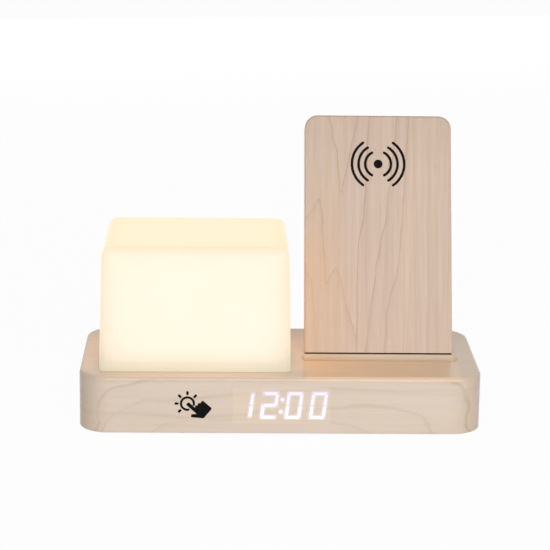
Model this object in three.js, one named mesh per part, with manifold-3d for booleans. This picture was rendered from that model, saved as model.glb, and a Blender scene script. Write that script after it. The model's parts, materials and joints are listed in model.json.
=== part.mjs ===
// Desk alarm clock with a night light and a leaning charging stand, on one wooden base.
// Lengths are in millimetres and angles in degrees. +X is right, +Y is back and +Z is up.
// The origin is on the table, in the middle of the box that the whole clock fills.

import * as THREE from 'three';
import { mergeVertices } from 'three/addons/utils/BufferGeometryUtils.js';
import Module from 'manifold-3d';

const wasm = await Module();
wasm.setup();

// Gaps and shared allowances
const seatGap = 0.1;
const turnedGap = 0.3;
const slideGap = 0.2;
const fitGap = 0.3;
const overrun = 1;
const leastRadius = 0.3;
const halfTurn = 180;

// Lamp shade and stand panel, with the margins round them: these set the base's size
const lampWidth = 100;
const lampDepth = 80;
const lampHeight = 65.5;
const lampWidthDraft = 3;
const lampDepthDraft = 3.6;
const lampCornerRadius = 3.8;
const lampTopFillet = 5.6;
const lampBottomFillet = 0.8;
const lampWall = 1.8;
const panelWidth = 79.6;
const panelHeight = 129.8;
const panelThickness = 10;
const panelLean = 20.85;
const panelTopRadius = 7.1;
const panelBottomRadius = 1.4;
const panelFrontFillet = 1.6;
const panelBackFillet = 1.6;
const panelLift = 0.5;
const leftMargin = 10.35;
const lampPanelGap = 8.2;
const rightMargin = 11.85;
const frontMargin = 9.15;
const rearMargin = 5.85;
const ledgeDepth = 43.8;

// Base housing and its bottom cover
const housingWall = 4.5;
const topThickness = 4;
const baseCornerRadius = 15.6;
const baseTopFillet = 2.1;
const baseBottomFillet = 0.6;
const coverThickness = 2.2;
const coverLip = 2.2;
const cornerInset = 13.5;
const cornerBossRadius = 4.5;
const footRadius = 5.5;
const footProud = 1;
const footRecess = 0.8;
const footInsetX = 30;
const footInsetY = 12.5;
const footEdge = 0.5;
const grooveWidth = 14;
const grooveDepth = 1.2;
const grooveSpare = 3;
const grooveCornerRadius = 5;

// Screws: the larger kind holds housings, the smaller kind holds boards
const screwRadius = 1.3;
const screwHeadRadius = 2.4;
const screwHeadHeight = 1;
const screwLength = 9;
const screwRecess = 1.1;
const shortScrewLength = 4.6;
const smallScrewRadius = 0.9;
const smallScrewHeadRadius = 1.8;
const smallScrewHeadHeight = 0.9;
const smallScrewLength = 4.4;
const recessWidth = 0.6;
const recessDepth = 0.6;
const pilotGap = 0.1;

// Display module with four digits, and the board behind it that also holds the touch spring
const moduleDepth = 8;
const moduleTrim = 0.3;
const moduleBorder = 2.4;
const veneerThickness = 0.6;
const displayFromLeft = 105.5;
const displayBoardMargin = 1;
const displayBoardThickness = 1.6;
const displayClearBelow = 2.5;
const displayClearAbove = 0.8;
const displayBossRadius = 2.6;
const displayBossOffset = 5;
const digitHeight = 14.2;
const digitWidth = 8;
const digitPitch = 12.7;
const digitSlant = 8;
const digitCount = 4;
const segmentWidth = 1.7;
const segmentGap = 0.3;
const segmentRaise = 0.2;
const colonRadius = 1;
const colonSpread = 6.6;
const touchFromLeft = 62.5;
const touchSkin = 1.5;
const touchPocketRadius = 7;
const touchSpringRadius = 5;
const touchSpringNeck = 2.6;
const touchWireRadius = 0.3;
const touchBoardMargin = 8;

// Main board, and what stands on it
const boardWidth = 96;
const boardDepth = 32;
const boardThickness = 1.6;
const boardStandoff = 7;
const boardOffset = 6;
const boardRearGap = 1.5;
const standoffRadius = 2.8;
const standoffInset = 4.5;
const pegRadius = 1.2;
const pegHeight = 2.2;
const headerWidth = 6;
const headerDepth = 8;
const headerHeight = 4.4;
const headerInset = 2;
const ribbonHeaderWidth = 12;
const ribbonHeaderDepth = 4;
const clockChipWidth = 17.9;
const clockChipDepth = 7.5;
const clockChipHeight = 2.3;
const clockChipGap = 2.05;
const chipLegReach = 1.2;
const chipLegWidth = 0.5;
const chipLegPitch = 1.27;
const chipLegThickness = 0.3;
const crystalLength = 11;
const crystalWidth = 4.6;
const crystalHeight = 3.5;
const crystalGap = 15.5;
const buzzerRadius = 6;
const buzzerHeight = 7.5;
const buzzerGap = 3;
const buzzerHole = 1.1;
const buzzerHoleDepth = 2;
const partRowDepth = 12;
const soundHoleRadius = 0.6;
const soundHoleRing = 3;
const soundHoleCount = 6;

// Rear control plate, buttons, switches and the power inlet
const plateWidth = 88;
const plateHeight = 16.5;
const plateThickness = 2;
const plateRadius = 4;
const plateLedge = 2.4;
const plateRimWidth = 1.2;
const plateRimDepth = 1.6;
const buttonRadius = 3.25;
const buttonProud = 1.2;
const buttonEdge = 0.4;
const buttonFlange = 0.85;
const buttonFlangeThickness = 1;
const buttonStemRadius = 1.5;
const buttonTravel = 0.6;
const pressClearance = 0.15;
const buttonFirstX = -30;
const buttonPitch = 14;
const switchWidth = 6;
const switchDepth = 3.5;
const switchPlunger = 0.85;
const switchPlungerRadius = 1.2;
const inletX = 26;
const inletWidth = 8.94;
const inletHeight = 3.26;
const inletDepth = 9;
const inletWall = 0.35;
const inletBack = 2;
const inletRecess = 0.3;
const tongueWidth = 6.7;
const tongueThickness = 0.7;
const tongueLength = 4.5;

// Coin cell, its well in the bottom cover, its contact and its turning cap
const cellRadius = 10;
const cellThickness = 3.2;
const cellEdge = 0.4;
const cellFromLeft = 45;
const cellFromFront = 47.5;
const wellWall = 1.6;
const wellRoof = 1;
const contactThickness = 0.4;
const contactWidth = 7;
const capRadius = 14;
const capDiscThickness = 1;
const capPlugRadius = 11.4;
const capLugReach = 1.6;
const capLugThickness = 0.9;
const capLugAngle = 30;
const capTurn = 40;
const lugSpare = 3;
const coinSlotLength = 15;
const coinSlotWidth = 1.8;
const coinSlotDepth = 0.9;

// Lamp: the seat inside the shade, the metal board and its four light chips
const seatHeight = 6;
const seatFloor = 1.8;
const seatRim = 1.6;
const seatCornerRadius = 3;
const seatPostHeight = 3.6;
const seatPostRadius = 3;
const lampScrewInset = 20;
const ledBoardInset = 15;
const ledBoardThickness = 1.6;
const ledBoardRadius = 3;
const ledPostRadius = 2.6;
const ledPostInset = 4.5;
const ledSize = 5;
const ledHeight = 1.2;
const ledEdge = 0.4;
const ledInsetX = 17;
const ledInsetY = 13;
const leadRadius = 1.2;
const leadHoleGap = 0.6;
const leadBend = 6;
const lampLeadX = -13.4;
const lampLeadY = 16.5;
const ribbonWidth = 10;
const ribbonThickness = 0.6;
const ribbonSag = 3;

// Inside the charging panel
const frontPanelThickness = 6;
const panelSkin = 2;
const panelEdgeWall = 4.5;
const panelFootWall = 14;
const pocketRadius = 3;
const coilRadius = 20;
const coilHoleRadius = 10.5;
const coilThickness = 1.3;
const coilTopClear = 2.4;
const ferriteMargin = 1;
const ferriteThickness = 0.6;
const chargerBoardWidth = 44;
const chargerBoardHeight = 30;
const chargerBoardThickness = 1;
const chargerBoardLow = 38;
const railWidth = 3;
const railDepth = 0.8;
const chargerChipSize = 7;
const chargerChipHeight = 1;
const chargerChipBevel = 0.2;

// Steel bracket that carries the panel through a slot in the base's top
const legWidth = 36;
const legThickness = 1.5;
const legDepth = 3;
const legHeight = 32;
const legScrewHeight = 24;
const bracketScrewSpread = 24;
const flangeReach = 15;
const flangeLip = 3;
const bracketScrewReach = 9;
const chargerLeadOffset = 26;

// Counts of steps in round stretches
const cornerSteps = 7;
const smallSteps = 2;
const filletSteps = 4;
const roundSides = 24;
const smallSides = 10;
const grooveSides = 60;
const leadSides = 6;
const leadSteps = 14;
const springTurns = 4;
const springSides = 4;
const springStepsPerTurn = 8;

// Overall sizes worked out from the sizes above
const lean = THREE.MathUtils.degToRad(panelLean);
const baseWidth = leftMargin + lampWidth + lampPanelGap + panelWidth + rightMargin;
const baseDepth = frontMargin + lampDepth + rearMargin;
const moduleWidth = digitCount * digitPitch - 2 * moduleTrim;
const moduleHeight = digitHeight + 2 * moduleBorder;
const displayBoardHeight = moduleHeight + 2 * displayBoardMargin;
const cavityHeight = displayClearBelow + displayBoardHeight + displayClearAbove;
const baseHeight = coverThickness + cavityHeight + topThickness;
const leftX = -baseWidth / 2;
const rightX = baseWidth / 2;
const frontY = -baseDepth / 2;
const rearY = baseDepth / 2;
const baseLow = footProud;
const baseTop = baseLow + baseHeight;
const coverTop = baseLow + coverThickness;
const cavityTop = baseTop - topThickness;
const lampX = leftX + leftMargin + lampWidth / 2;
const lampY = frontY + frontMargin + lampDepth / 2;
const panelX = rightX - rightMargin - panelWidth / 2;
const panelY = frontY + ledgeDepth;
const panelLow = baseTop + panelLift;
const panelRear = panelY + (panelHeight - panelBackFillet) * Math.sin(lean)
  + (panelThickness - panelBackFillet) * Math.cos(lean) + panelBackFillet;

// Places that several pieces share
const displayX = leftX + displayFromLeft;
const displayZ = coverTop + displayClearBelow + displayBoardHeight / 2;
const displayBoardFront = frontY + veneerThickness + seatGap + moduleDepth + seatGap;
const displayBoardBack = displayBoardFront + displayBoardThickness;
const touchX = leftX + touchFromLeft;
const displayScrews = [
  (touchX + touchPocketRadius + displayX - moduleWidth / 2) / 2,
  displayX + moduleWidth / 2 + displayBossOffset,
];
const displayBoardLeft = touchX - touchBoardMargin;
const displayBoardRight = displayX + moduleWidth / 2 + 2 * displayBossOffset;
const boardLow = coverTop + boardStandoff + seatGap;
const boardTop = boardLow + boardThickness;
const boardRear = rearY - housingWall - boardRearGap;
const boardFront = boardRear - boardDepth;
const boardLeft = boardOffset - boardWidth / 2;
const boardRight = boardOffset + boardWidth / 2;
const controlZ = boardTop + seatGap + inletHeight / 2;
const plateInner = rearY - plateThickness;
const rowY = boardRear - switchDepth - partRowDepth;
const chargerHeader = { x: boardRight - headerInset - headerWidth, y: rowY - headerDepth / 2 };
const lampHeader = { x: boardLeft + headerInset, y: rowY - headerDepth / 2 };
const buzzerX = chargerHeader.x - buzzerGap - buzzerRadius;
const clockChipX = buzzerX - buzzerRadius - clockChipGap - clockChipWidth / 2;
const crystalX = lampHeader.x + headerWidth + crystalGap + crystalLength / 2;
const buttonNames = ['set', 'up', 'down'];
const buttonPlaces = buttonNames.map((name, order) => ({ name, x: buttonFirstX + order * buttonPitch }));
const cellX = leftX + cellFromLeft;
const cellY = frontY + cellFromFront;
const capTop = coverTop + seatGap + capLugThickness;
const cellLow = capTop + seatGap;
const contactLow = cellLow + cellThickness + seatGap;
const wellTop = contactLow + contactThickness + seatGap + wellRoof;
const lampScrews = [-1, 1].map((side) => lampX + side * (lampWidth / 2 - lampScrewInset));
const ledBoardWidth = lampWidth - 2 * ledBoardInset;
const ledBoardDepth = lampDepth - 2 * ledBoardInset;
const ledBoardLow = baseTop + seatGap + seatPostHeight + seatGap;
const lampLead = { x: lampX + lampLeadX, y: lampY + lampLeadY };
const coilHeight = panelHeight - panelEdgeWall - coilTopClear - coilRadius;
const chargerLeadDepth = panelSkin + turnedGap + leadRadius;
const legScrews = [-bracketScrewSpread / 2, bracketScrewSpread / 2];
const bracketTop = cavityTop - seatGap;
const bracketLow = bracketTop - legThickness;
const corners = [
  { name: 'front_left', x: -1, y: -1 },
  { name: 'front_right', x: 1, y: -1 },
  { name: 'back_right', x: 1, y: 1 },
  { name: 'back_left', x: -1, y: 1 },
];

// Materials
const maple = new THREE.MeshStandardMaterial({ color: 0xdcc9b5, roughness: 0.45, metalness: 0 });
const milkPlastic = new THREE.MeshStandardMaterial({ color: 0xfff4dc, roughness: 0.5, metalness: 0 });
const whitePlastic = new THREE.MeshStandardMaterial({ color: 0xf1efe9, roughness: 0.55, metalness: 0 });
const blackPlastic = new THREE.MeshStandardMaterial({ color: 0x1f1f21, roughness: 0.6, metalness: 0 });
const greyPlastic = new THREE.MeshStandardMaterial({ color: 0x3a3b3e, roughness: 0.5, metalness: 0 });
const rubber = new THREE.MeshStandardMaterial({ color: 0x2b2b2c, roughness: 0.9, metalness: 0 });
const steel = new THREE.MeshStandardMaterial({ color: 0xb9bbbe, roughness: 0.35, metalness: 1 });
const aluminium = new THREE.MeshStandardMaterial({ color: 0xd5d7d9, roughness: 0.4, metalness: 1 });
const copper = new THREE.MeshStandardMaterial({ color: 0xb8733f, roughness: 0.35, metalness: 1 });
const greenBoard = new THREE.MeshStandardMaterial({ color: 0x1e5a3a, roughness: 0.5, metalness: 0 });
const ferrite = new THREE.MeshStandardMaterial({ color: 0x3c3a3a, roughness: 0.8, metalness: 0 });
const lightChip = new THREE.MeshStandardMaterial({ color: 0xf6d873, roughness: 0.4, metalness: 0 });

const clock = new THREE.Group();
clock.position.y = -(frontY + panelRear) / 2;
const panelFrame = new THREE.Group();
panelFrame.position.set(panelX, panelY, panelLow);
panelFrame.rotation.x = Math.PI / 2 - lean;
panelFrame.updateMatrix();
clock.add(panelFrame);

// Each sub-part is one named mesh
function addPiece(name, geometry, material, parent = clock) {
  const mesh = new THREE.Mesh(geometry, material);
  mesh.name = name;
  parent.add(mesh);
}

// Solids from closed geometries, and geometries from solids
function solid(geometry) {
  const bare = geometry.clone();
  bare.deleteAttribute('normal');
  bare.deleteAttribute('uv');
  const merged = mergeVertices(bare);
  const vertProperties = new Float32Array(merged.attributes.position.array);
  const triVerts = new Uint32Array(merged.index.array);
  return new wasm.Manifold(new wasm.Mesh({ numProp: 3, vertProperties, triVerts }));
}

function geometryOf(body) {
  const mesh = body.getMesh();
  const geometry = new THREE.BufferGeometry();
  geometry.setAttribute('position', new THREE.BufferAttribute(mesh.vertProperties, 3));
  geometry.setIndex(new THREE.BufferAttribute(mesh.triVerts, 1));
  geometry.computeVertexNormals();
  return geometry;
}

function join(geometries) {
  return geometries.map(solid).reduce((whole, next) => whole.add(next));
}

function carve(body, cuts) {
  return cuts.map(solid).reduce((left, cut) => left.subtract(cut), body);
}

// A box between two corners
function block(low, high) {
  const size = high.map((value, axis) => value - low[axis]);
  const middle = high.map((value, axis) => (value + low[axis]) / 2);
  return new THREE.BoxGeometry(...size).translate(...middle);
}

// Upright and fore-and-aft cylinders
function post(x, y, low, high, radius, sides = smallSides) {
  const geometry = new THREE.CylinderGeometry(radius, radius, high - low, sides);
  return geometry.rotateX(Math.PI / 2).translate(x, y, (low + high) / 2);
}

function rod(x, z, front, back, radius, sides = smallSides) {
  const geometry = new THREE.CylinderGeometry(radius, radius, back - front, sides);
  return geometry.translate(x, (front + back) / 2, z);
}

// A counter-clockwise ring of points round a rectangle, with one radius for each end's corners
function roundedRing(edges, height) {
  const lowRadius = Math.max(edges.lowRadius, leastRadius);
  const highRadius = Math.max(edges.highRadius, leastRadius);
  const turns = [
    { x: edges.right - highRadius, y: edges.high - highRadius, radius: highRadius },
    { x: edges.left + highRadius, y: edges.high - highRadius, radius: highRadius },
    { x: edges.left + lowRadius, y: edges.low + lowRadius, radius: lowRadius },
    { x: edges.right - lowRadius, y: edges.low + lowRadius, radius: lowRadius },
  ];
  return turns.flatMap(({ x, y, radius }, quarter) => {
    const arc = [];
    for (let step = 0; step <= edges.steps; step += 1) {
      const angle = (quarter + step / edges.steps) * Math.PI / 2;
      arc.push(new THREE.Vector3(x + radius * Math.cos(angle), y + radius * Math.sin(angle), height));
    }
    return arc;
  });
}

// A closed skin over rings of points, from the lowest ring to the highest
function loft(rings) {
  const count = rings[0].length;
  const positions = rings.flat().flatMap((point) => point.toArray());
  const faces = [];
  for (let level = 0; level < rings.length - 1; level += 1) {
    for (let spot = 0; spot < count; spot += 1) {
      const here = level * count + spot;
      const next = level * count + (spot + 1) % count;
      faces.push(here, next, next + count);
      faces.push(here, next + count, here + count);
    }
  }
  const last = (rings.length - 1) * count;
  for (let spot = 1; spot < count - 1; spot += 1) {
    faces.push(0, spot + 1, spot);
    faces.push(last, last + spot, last + spot + 1);
  }
  const geometry = new THREE.BufferGeometry();
  geometry.setAttribute('position', new THREE.Float32BufferAttribute(positions, 3));
  geometry.setIndex(faces);
  return geometry;
}

// How far a round edge draws in and rises at each of its steps, from its foot to its side
function filletStations(radius) {
  if (radius === 0) {
    return [{ inset: 0, rise: 0 }];
  }
  const stations = [];
  for (let step = 0; step <= filletSteps; step += 1) {
    const angle = step / filletSteps * Math.PI / 2;
    stations.push({ inset: radius * (1 - Math.sin(angle)), rise: radius * (1 - Math.cos(angle)) });
  }
  return stations;
}

// An upright block with round corners, round top and bottom edges, and sides that may draw in
function roundedBlock(size) {
  const { x, y, low, high, width, depth, radius } = size;
  const widthAtTop = size.topWidth ?? width;
  const depthAtTop = size.topDepth ?? depth;
  const below = filletStations(size.lowFillet ?? 0).map(({ inset, rise }) => ({ inset, z: low + rise }));
  const above = filletStations(size.topFillet ?? 0).map(({ inset, rise }) => ({ inset, z: high - rise }));
  const rings = [...below, ...above.reverse()].map(({ inset, z }) => {
    const riseShare = (z - low) / (high - low);
    const halfWidth = (width + (widthAtTop - width) * riseShare) / 2 - inset;
    const halfDepth = (depth + (depthAtTop - depth) * riseShare) / 2 - inset;
    const corner = radius - inset;
    const edges = {
      left: x - halfWidth,
      right: x + halfWidth,
      low: y - halfDepth,
      high: y + halfDepth,
      lowRadius: corner,
      highRadius: corner,
      steps: size.steps ?? cornerSteps,
    };
    return roundedRing(edges, z);
  });
  return loft(rings);
}

// An outline drawn in the plane of a wall, X right and Y up, given thickness from front to back
function wallPlate({ x, z, width, height, radius, front, back }) {
  const edges = {
    left: x - width / 2,
    right: x + width / 2,
    low: z - height / 2,
    high: z + height / 2,
    lowRadius: radius,
    highRadius: radius,
    steps: smallSteps * 2,
  };
  return loft([roundedRing(edges, -back), roundedRing(edges, -front)]).rotateX(Math.PI / 2);
}

// A body turned about the Z axis from a closed outline of [radius, height] points
function turned(outline, sides = roundSides) {
  const points = outline.map(([radius, height]) => new THREE.Vector2(radius, height));
  return new THREE.LatheGeometry(points, sides).rotateX(Math.PI / 2);
}

// A screw with its head's face at the origin, its shank going up +Z, and a cross recess below
function screw({ radius, headRadius, headHeight, length }) {
  const outline = [
    [0, 0],
    [headRadius - headHeight / 2, 0],
    [headRadius, headHeight / 2],
    [headRadius, headHeight],
    [radius, headHeight],
    [radius, length - radius],
    [radius / 2, length],
    [0, length],
  ];
  const arm = headRadius / 2;
  const half = recessWidth / 2;
  const cross = [
    block([-arm, -half, -overrun], [arm, half, recessDepth]),
    block([-half, -arm, -overrun], [half, arm, recessDepth]),
  ];
  return geometryOf(carve(solid(turned(outline, smallSides)), cross));
}

const largeScrew = { radius: screwRadius, headRadius: screwHeadRadius, headHeight: screwHeadHeight };
const smallScrew = {
  radius: smallScrewRadius,
  headRadius: smallScrewHeadRadius,
  headHeight: smallScrewHeadHeight,
  length: smallScrewLength,
};

// A plain round tube along a smooth route
function lead(route) {
  const outline = [];
  for (let side = 0; side < leadSides; side += 1) {
    const angle = side / leadSides * 2 * Math.PI;
    outline.push(new THREE.Vector2(leadRadius * Math.cos(angle), leadRadius * Math.sin(angle)));
  }
  const extrudePath = new THREE.CatmullRomCurve3(route);
  return new THREE.ExtrudeGeometry(new THREE.Shape(outline), { steps: leadSteps, extrudePath });
}

// Wooden base housing: a shell open below, thinned behind the display and the touch mark
function coverScrewPlaces() {
  return corners.map((corner) => ({
    name: corner.name,
    x: corner.x * (rightX - cornerInset),
    y: corner.y * (rearY - cornerInset),
  }));
}

function legSlot(gap) {
  const low = [-legWidth / 2 - gap, -baseHeight, -legDepth - legThickness - gap];
  const high = [legWidth / 2 + gap, legHeight, -legDepth + gap];
  return block(low, high);
}

// Shallow trough along the panel's foot, where a phone's lower edge rests
function restGroove() {
  const radius = grooveWidth ** 2 / grooveDepth / 8 + grooveDepth / 2;
  const length = panelWidth + 2 * grooveSpare;
  const middleY = panelY - grooveWidth / 2;
  const trough = new THREE.CylinderGeometry(radius, radius, length + overrun, grooveSides);
  trough.rotateZ(Math.PI / 2).translate(panelX, middleY, baseTop - grooveDepth + radius);
  const outline = roundedBlock({
    x: panelX,
    y: middleY,
    low: baseTop - 2 * grooveDepth,
    high: baseTop + grooveDepth,
    width: length,
    depth: grooveWidth,
    radius: grooveCornerRadius,
  });
  return geometryOf(solid(trough).intersect(solid(outline)));
}

function makeHousing() {
  const outer = roundedBlock({
    x: 0,
    y: 0,
    low: baseLow,
    high: baseTop,
    width: baseWidth,
    depth: baseDepth,
    radius: baseCornerRadius,
    topFillet: baseTopFillet,
    lowFillet: baseBottomFillet,
  });
  const cavity = roundedBlock({
    x: 0,
    y: 0,
    low: baseLow - overrun,
    high: cavityTop,
    width: baseWidth - 2 * housingWall,
    depth: baseDepth - 2 * housingWall,
    radius: baseCornerRadius - housingWall,
    steps: smallSteps * 2,
  });
  const rebate = roundedBlock({
    x: 0,
    y: 0,
    low: baseLow - overrun,
    high: coverTop + seatGap,
    width: baseWidth - 2 * coverLip,
    depth: baseDepth - 2 * coverLip,
    radius: baseCornerRadius - coverLip,
  });
  const hollow = carve(solid(outer), [cavity]);
  const bossLow = coverTop + 2 * seatGap;
  const bosses = coverScrewPlaces().map(({ x, y }) =>
    post(x, y, bossLow, cavityTop + topThickness / 2, cornerBossRadius, roundSides));
  const displayBosses = displayScrews.map((x) =>
    rod(x, displayZ, frontY + housingWall / 2, displayBoardFront - seatGap, displayBossRadius));
  const filled = [...bosses, ...displayBosses].map(solid).reduce((whole, next) => whole.add(next), hollow);

  const moduleClear = 2 * fitGap;
  const displayPocket = wallPlate({
    x: displayX,
    z: displayZ,
    width: moduleWidth + moduleClear,
    height: moduleHeight + moduleClear,
    radius: leastRadius,
    front: frontY + veneerThickness,
    back: displayBoardBack,
  });
  const boardPocket = block(
    [displayBoardLeft - fitGap, displayBoardFront - fitGap / 2, displayZ - displayBoardHeight / 2 - fitGap],
    [displayBoardRight + fitGap, displayBoardBack + overrun, displayZ + displayBoardHeight / 2 + fitGap],
  );
  const touchPocket = rod(
    touchX,
    displayZ,
    frontY + touchSkin,
    displayBoardFront,
    touchPocketRadius,
    roundSides,
  );
  const platePocket = wallPlate({
    x: 0,
    z: controlZ,
    width: plateWidth + 2 * slideGap,
    height: plateHeight + 2 * slideGap,
    radius: plateRadius + slideGap,
    front: plateInner - seatGap,
    back: rearY + overrun,
  });
  const plateWindow = wallPlate({
    x: 0,
    z: controlZ,
    width: plateWidth - 2 * plateLedge,
    height: plateHeight - 2 * plateLedge,
    radius: plateRadius - plateLedge,
    front: boardRear,
    back: rearY,
  });
  const coverPilots = coverScrewPlaces().map(({ x, y }) =>
    post(x, y, baseLow, baseLow + screwRecess + screwLength, screwRadius + pilotGap));
  const displayPilots = displayScrews.map((x) => {
    const tip = displayBoardBack + smallScrewHeadHeight - smallScrewLength - seatGap;
    return rod(x, displayZ, tip, displayBoardBack, smallScrewRadius + pilotGap);
  });
  const lampHoles = lampScrews.map((x) =>
    post(x, lampY, cavityTop - overrun, baseTop + overrun, screwRadius + pilotGap));
  const bracketPilots = legScrews.map((offset) => {
    const tip = bracketLow - screwHeadHeight + shortScrewLength + seatGap;
    return post(panelX + offset, panelY + bracketScrewReach, bracketLow, tip, screwRadius + pilotGap);
  });
  const leadHoles = [
    post(lampLead.x, lampLead.y, cavityTop - overrun, baseTop + overrun, leadRadius + leadHoleGap),
    chargerLeadCut(cavityTop - overrun - panelLow, leadHoleGap),
  ];
  const slot = legSlot(turnedGap).applyMatrix4(panelFrame.matrix);
  const cuts = [
    rebate,
    displayPocket,
    boardPocket,
    touchPocket,
    platePocket,
    plateWindow,
    ...coverPilots,
    ...displayPilots,
    ...lampHoles,
    ...bracketPilots,
    ...leadHoles,
    slot,
    restGroove(),
  ];
  return geometryOf(carve(filled, cuts));
}

// The charger's lead runs down inside the panel, so its hole leans as the panel does
function chargerLeadCut(fromHeight, gap) {
  const radius = leadRadius + gap;
  const low = fromHeight / Math.cos(lean);
  const high = panelFootWall + overrun;
  const geometry = new THREE.CylinderGeometry(radius, radius, high - low, smallSides);
  geometry.translate(chargerLeadOffset, (low + high) / 2, -chargerLeadDepth);
  return geometry.applyMatrix4(panelFrame.matrix);
}

// Bottom cover with the board's standoffs and the coin cell's well
function boardFixings() {
  const left = boardLeft + standoffInset;
  const right = boardRight - standoffInset;
  const front = boardFront + standoffInset;
  const rear = boardRear - standoffInset;
  return {
    screws: [{ name: 'left', x: left, y: front }, { name: 'right', x: right, y: rear }],
    pegs: [{ x: right, y: front }, { x: left, y: rear }],
  };
}

function lugSector(innerRadius, outerRadius, low, high, turn, spread) {
  const shape = new THREE.Shape();
  const half = THREE.MathUtils.degToRad(spread) / 2;
  const middle = THREE.MathUtils.degToRad(turn);
  shape.absarc(0, 0, outerRadius, middle - half, middle + half, false);
  shape.absarc(0, 0, innerRadius, middle + half, middle - half, true);
  const options = { depth: high - low, bevelEnabled: false, curveSegments: filletSteps };
  return new THREE.ExtrudeGeometry(shape, options).translate(cellX, cellY, low);
}

function makeBottomCover() {
  const plate = roundedBlock({
    x: 0,
    y: 0,
    low: baseLow,
    high: coverTop,
    width: baseWidth - 2 * coverLip - 2 * fitGap,
    depth: baseDepth - 2 * coverLip - 2 * fitGap,
    radius: baseCornerRadius - coverLip - fitGap,
  });
  const { screws, pegs } = boardFixings();
  const sunk = coverThickness / 2;
  const standoffs = [...screws, ...pegs].map(({ x, y }) =>
    post(x, y, coverTop - sunk, boardLow - seatGap, standoffRadius));
  const pegFoot = boardLow - boardStandoff / 2;
  const pegPins = pegs.map(({ x, y }) => post(x, y, pegFoot, boardLow + pegHeight, pegRadius));
  const lugRoom = capPlugRadius + capLugReach + fitGap;
  const well = post(cellX, cellY, coverTop - sunk, wellTop, lugRoom + wellWall, roundSides);
  const whole = join([plate, ...standoffs, ...pegPins, well]);

  const discRoomTop = baseLow + capDiscThickness + seatGap;
  const screwTip = boardTop + smallScrewHeadHeight - smallScrewLength - overrun;
  const cuts = [
    post(cellX, cellY, baseLow - overrun, discRoomTop, capRadius + slideGap, roundSides),
    post(cellX, cellY, baseLow, coverTop + overrun, capPlugRadius + slideGap, roundSides),
    post(cellX, cellY, coverTop, capTop + seatGap, lugRoom, roundSides),
    post(cellX, cellY, capTop, wellTop - wellRoof, cellRadius + fitGap, roundSides),
    ...[0, 1].map((side) => lugSector(
      capPlugRadius / 2,
      lugRoom,
      baseLow,
      coverTop + overrun,
      capTurn + side * halfTurn,
      capLugAngle + lugSpare,
    )),
    ...corners.map(({ x, y }) => post(
      x * (rightX - footInsetX),
      y * (rearY - footInsetY),
      baseLow - overrun,
      baseLow + footRecess + seatGap,
      footRadius + slideGap,
      roundSides,
    )),
    ...coverScrewPlaces().map(({ x, y }) =>
      post(x, y, baseLow - overrun, coverTop + overrun, screwRadius + slideGap)),
    ...coverScrewPlaces().map(({ x, y }) =>
      post(x, y, baseLow - overrun, baseLow + screwRecess, screwHeadRadius + slideGap, roundSides)),
    ...screws.map(({ x, y }) => post(x, y, screwTip, boardTop, smallScrewRadius + pilotGap)),
    ...soundHoles(),
  ];
  return geometryOf(carve(whole, cuts));
}

function soundHoles() {
  const holes = [post(buzzerX, rowY, baseLow - overrun, coverTop + overrun, soundHoleRadius)];
  for (let spot = 0; spot < soundHoleCount; spot += 1) {
    const angle = spot / soundHoleCount * 2 * Math.PI;
    const x = buzzerX + soundHoleRing * Math.cos(angle);
    const y = rowY + soundHoleRing * Math.sin(angle);
    holes.push(post(x, y, baseLow - overrun, coverTop + overrun, soundHoleRadius));
  }
  return holes;
}

function addBase() {
  addPiece('base_housing', makeHousing(), maple);
  addPiece('bottom_cover', makeBottomCover(), blackPlastic);
  const coverScrew = { ...largeScrew, length: screwLength };
  for (const { name, x, y } of coverScrewPlaces()) {
    const place = screw(coverScrew).translate(x, y, baseLow + screwRecess - seatGap - screwHeadHeight);
    addPiece(`bottom_screw_${name}`, place, steel);
  }
  for (const { name, x, y } of corners) {
    const outline = [
      [0, 0],
      [footRadius - footEdge, 0],
      [footRadius, footEdge],
      [footRadius, footProud + footRecess],
      [0, footProud + footRecess],
    ];
    const foot = turned(outline).translate(x * (rightX - footInsetX), y * (rearY - footInsetY), 0);
    addPiece(`foot_${name}`, foot, rubber);
  }
}

// Display: seven-bar digits and a colon on the face of the module
function bar(length) {
  const half = length / 2;
  const thick = segmentWidth / 2;
  const outline = [
    [-half, 0],
    [-half + thick, -thick],
    [half - thick, -thick],
    [half, 0],
    [half - thick, thick],
    [-half + thick, thick],
  ];
  return new THREE.Shape(outline.map(([x, y]) => new THREE.Vector2(x, y)));
}

function digitBars(centre) {
  const sideways = digitWidth - segmentWidth;
  const upright = (digitHeight - segmentWidth) / 2;
  const barList = [
    ...[-upright, 0, upright].map((y) => ({ x: 0, y, length: sideways - segmentGap, turn: 0 })),
    ...[-1, 1].flatMap((side) => [-1, 1].map((end) => ({
      x: side * sideways / 2,
      y: end * upright / 2,
      length: upright - segmentGap,
      turn: Math.PI / 2,
    }))),
  ];
  const depth = segmentRaise + overrun;
  const slant = Math.tan(THREE.MathUtils.degToRad(digitSlant));
  const shear = new THREE.Matrix4().makeShear(0, 0, slant, 0, 0, 0);
  return barList.map(({ x, y, length, turn }) => {
    const geometry = new THREE.ExtrudeGeometry(bar(length), { depth, bevelEnabled: false });
    return geometry.rotateZ(turn).translate(x, y, 0).applyMatrix4(shear).translate(centre, 0, 0);
  });
}

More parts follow.
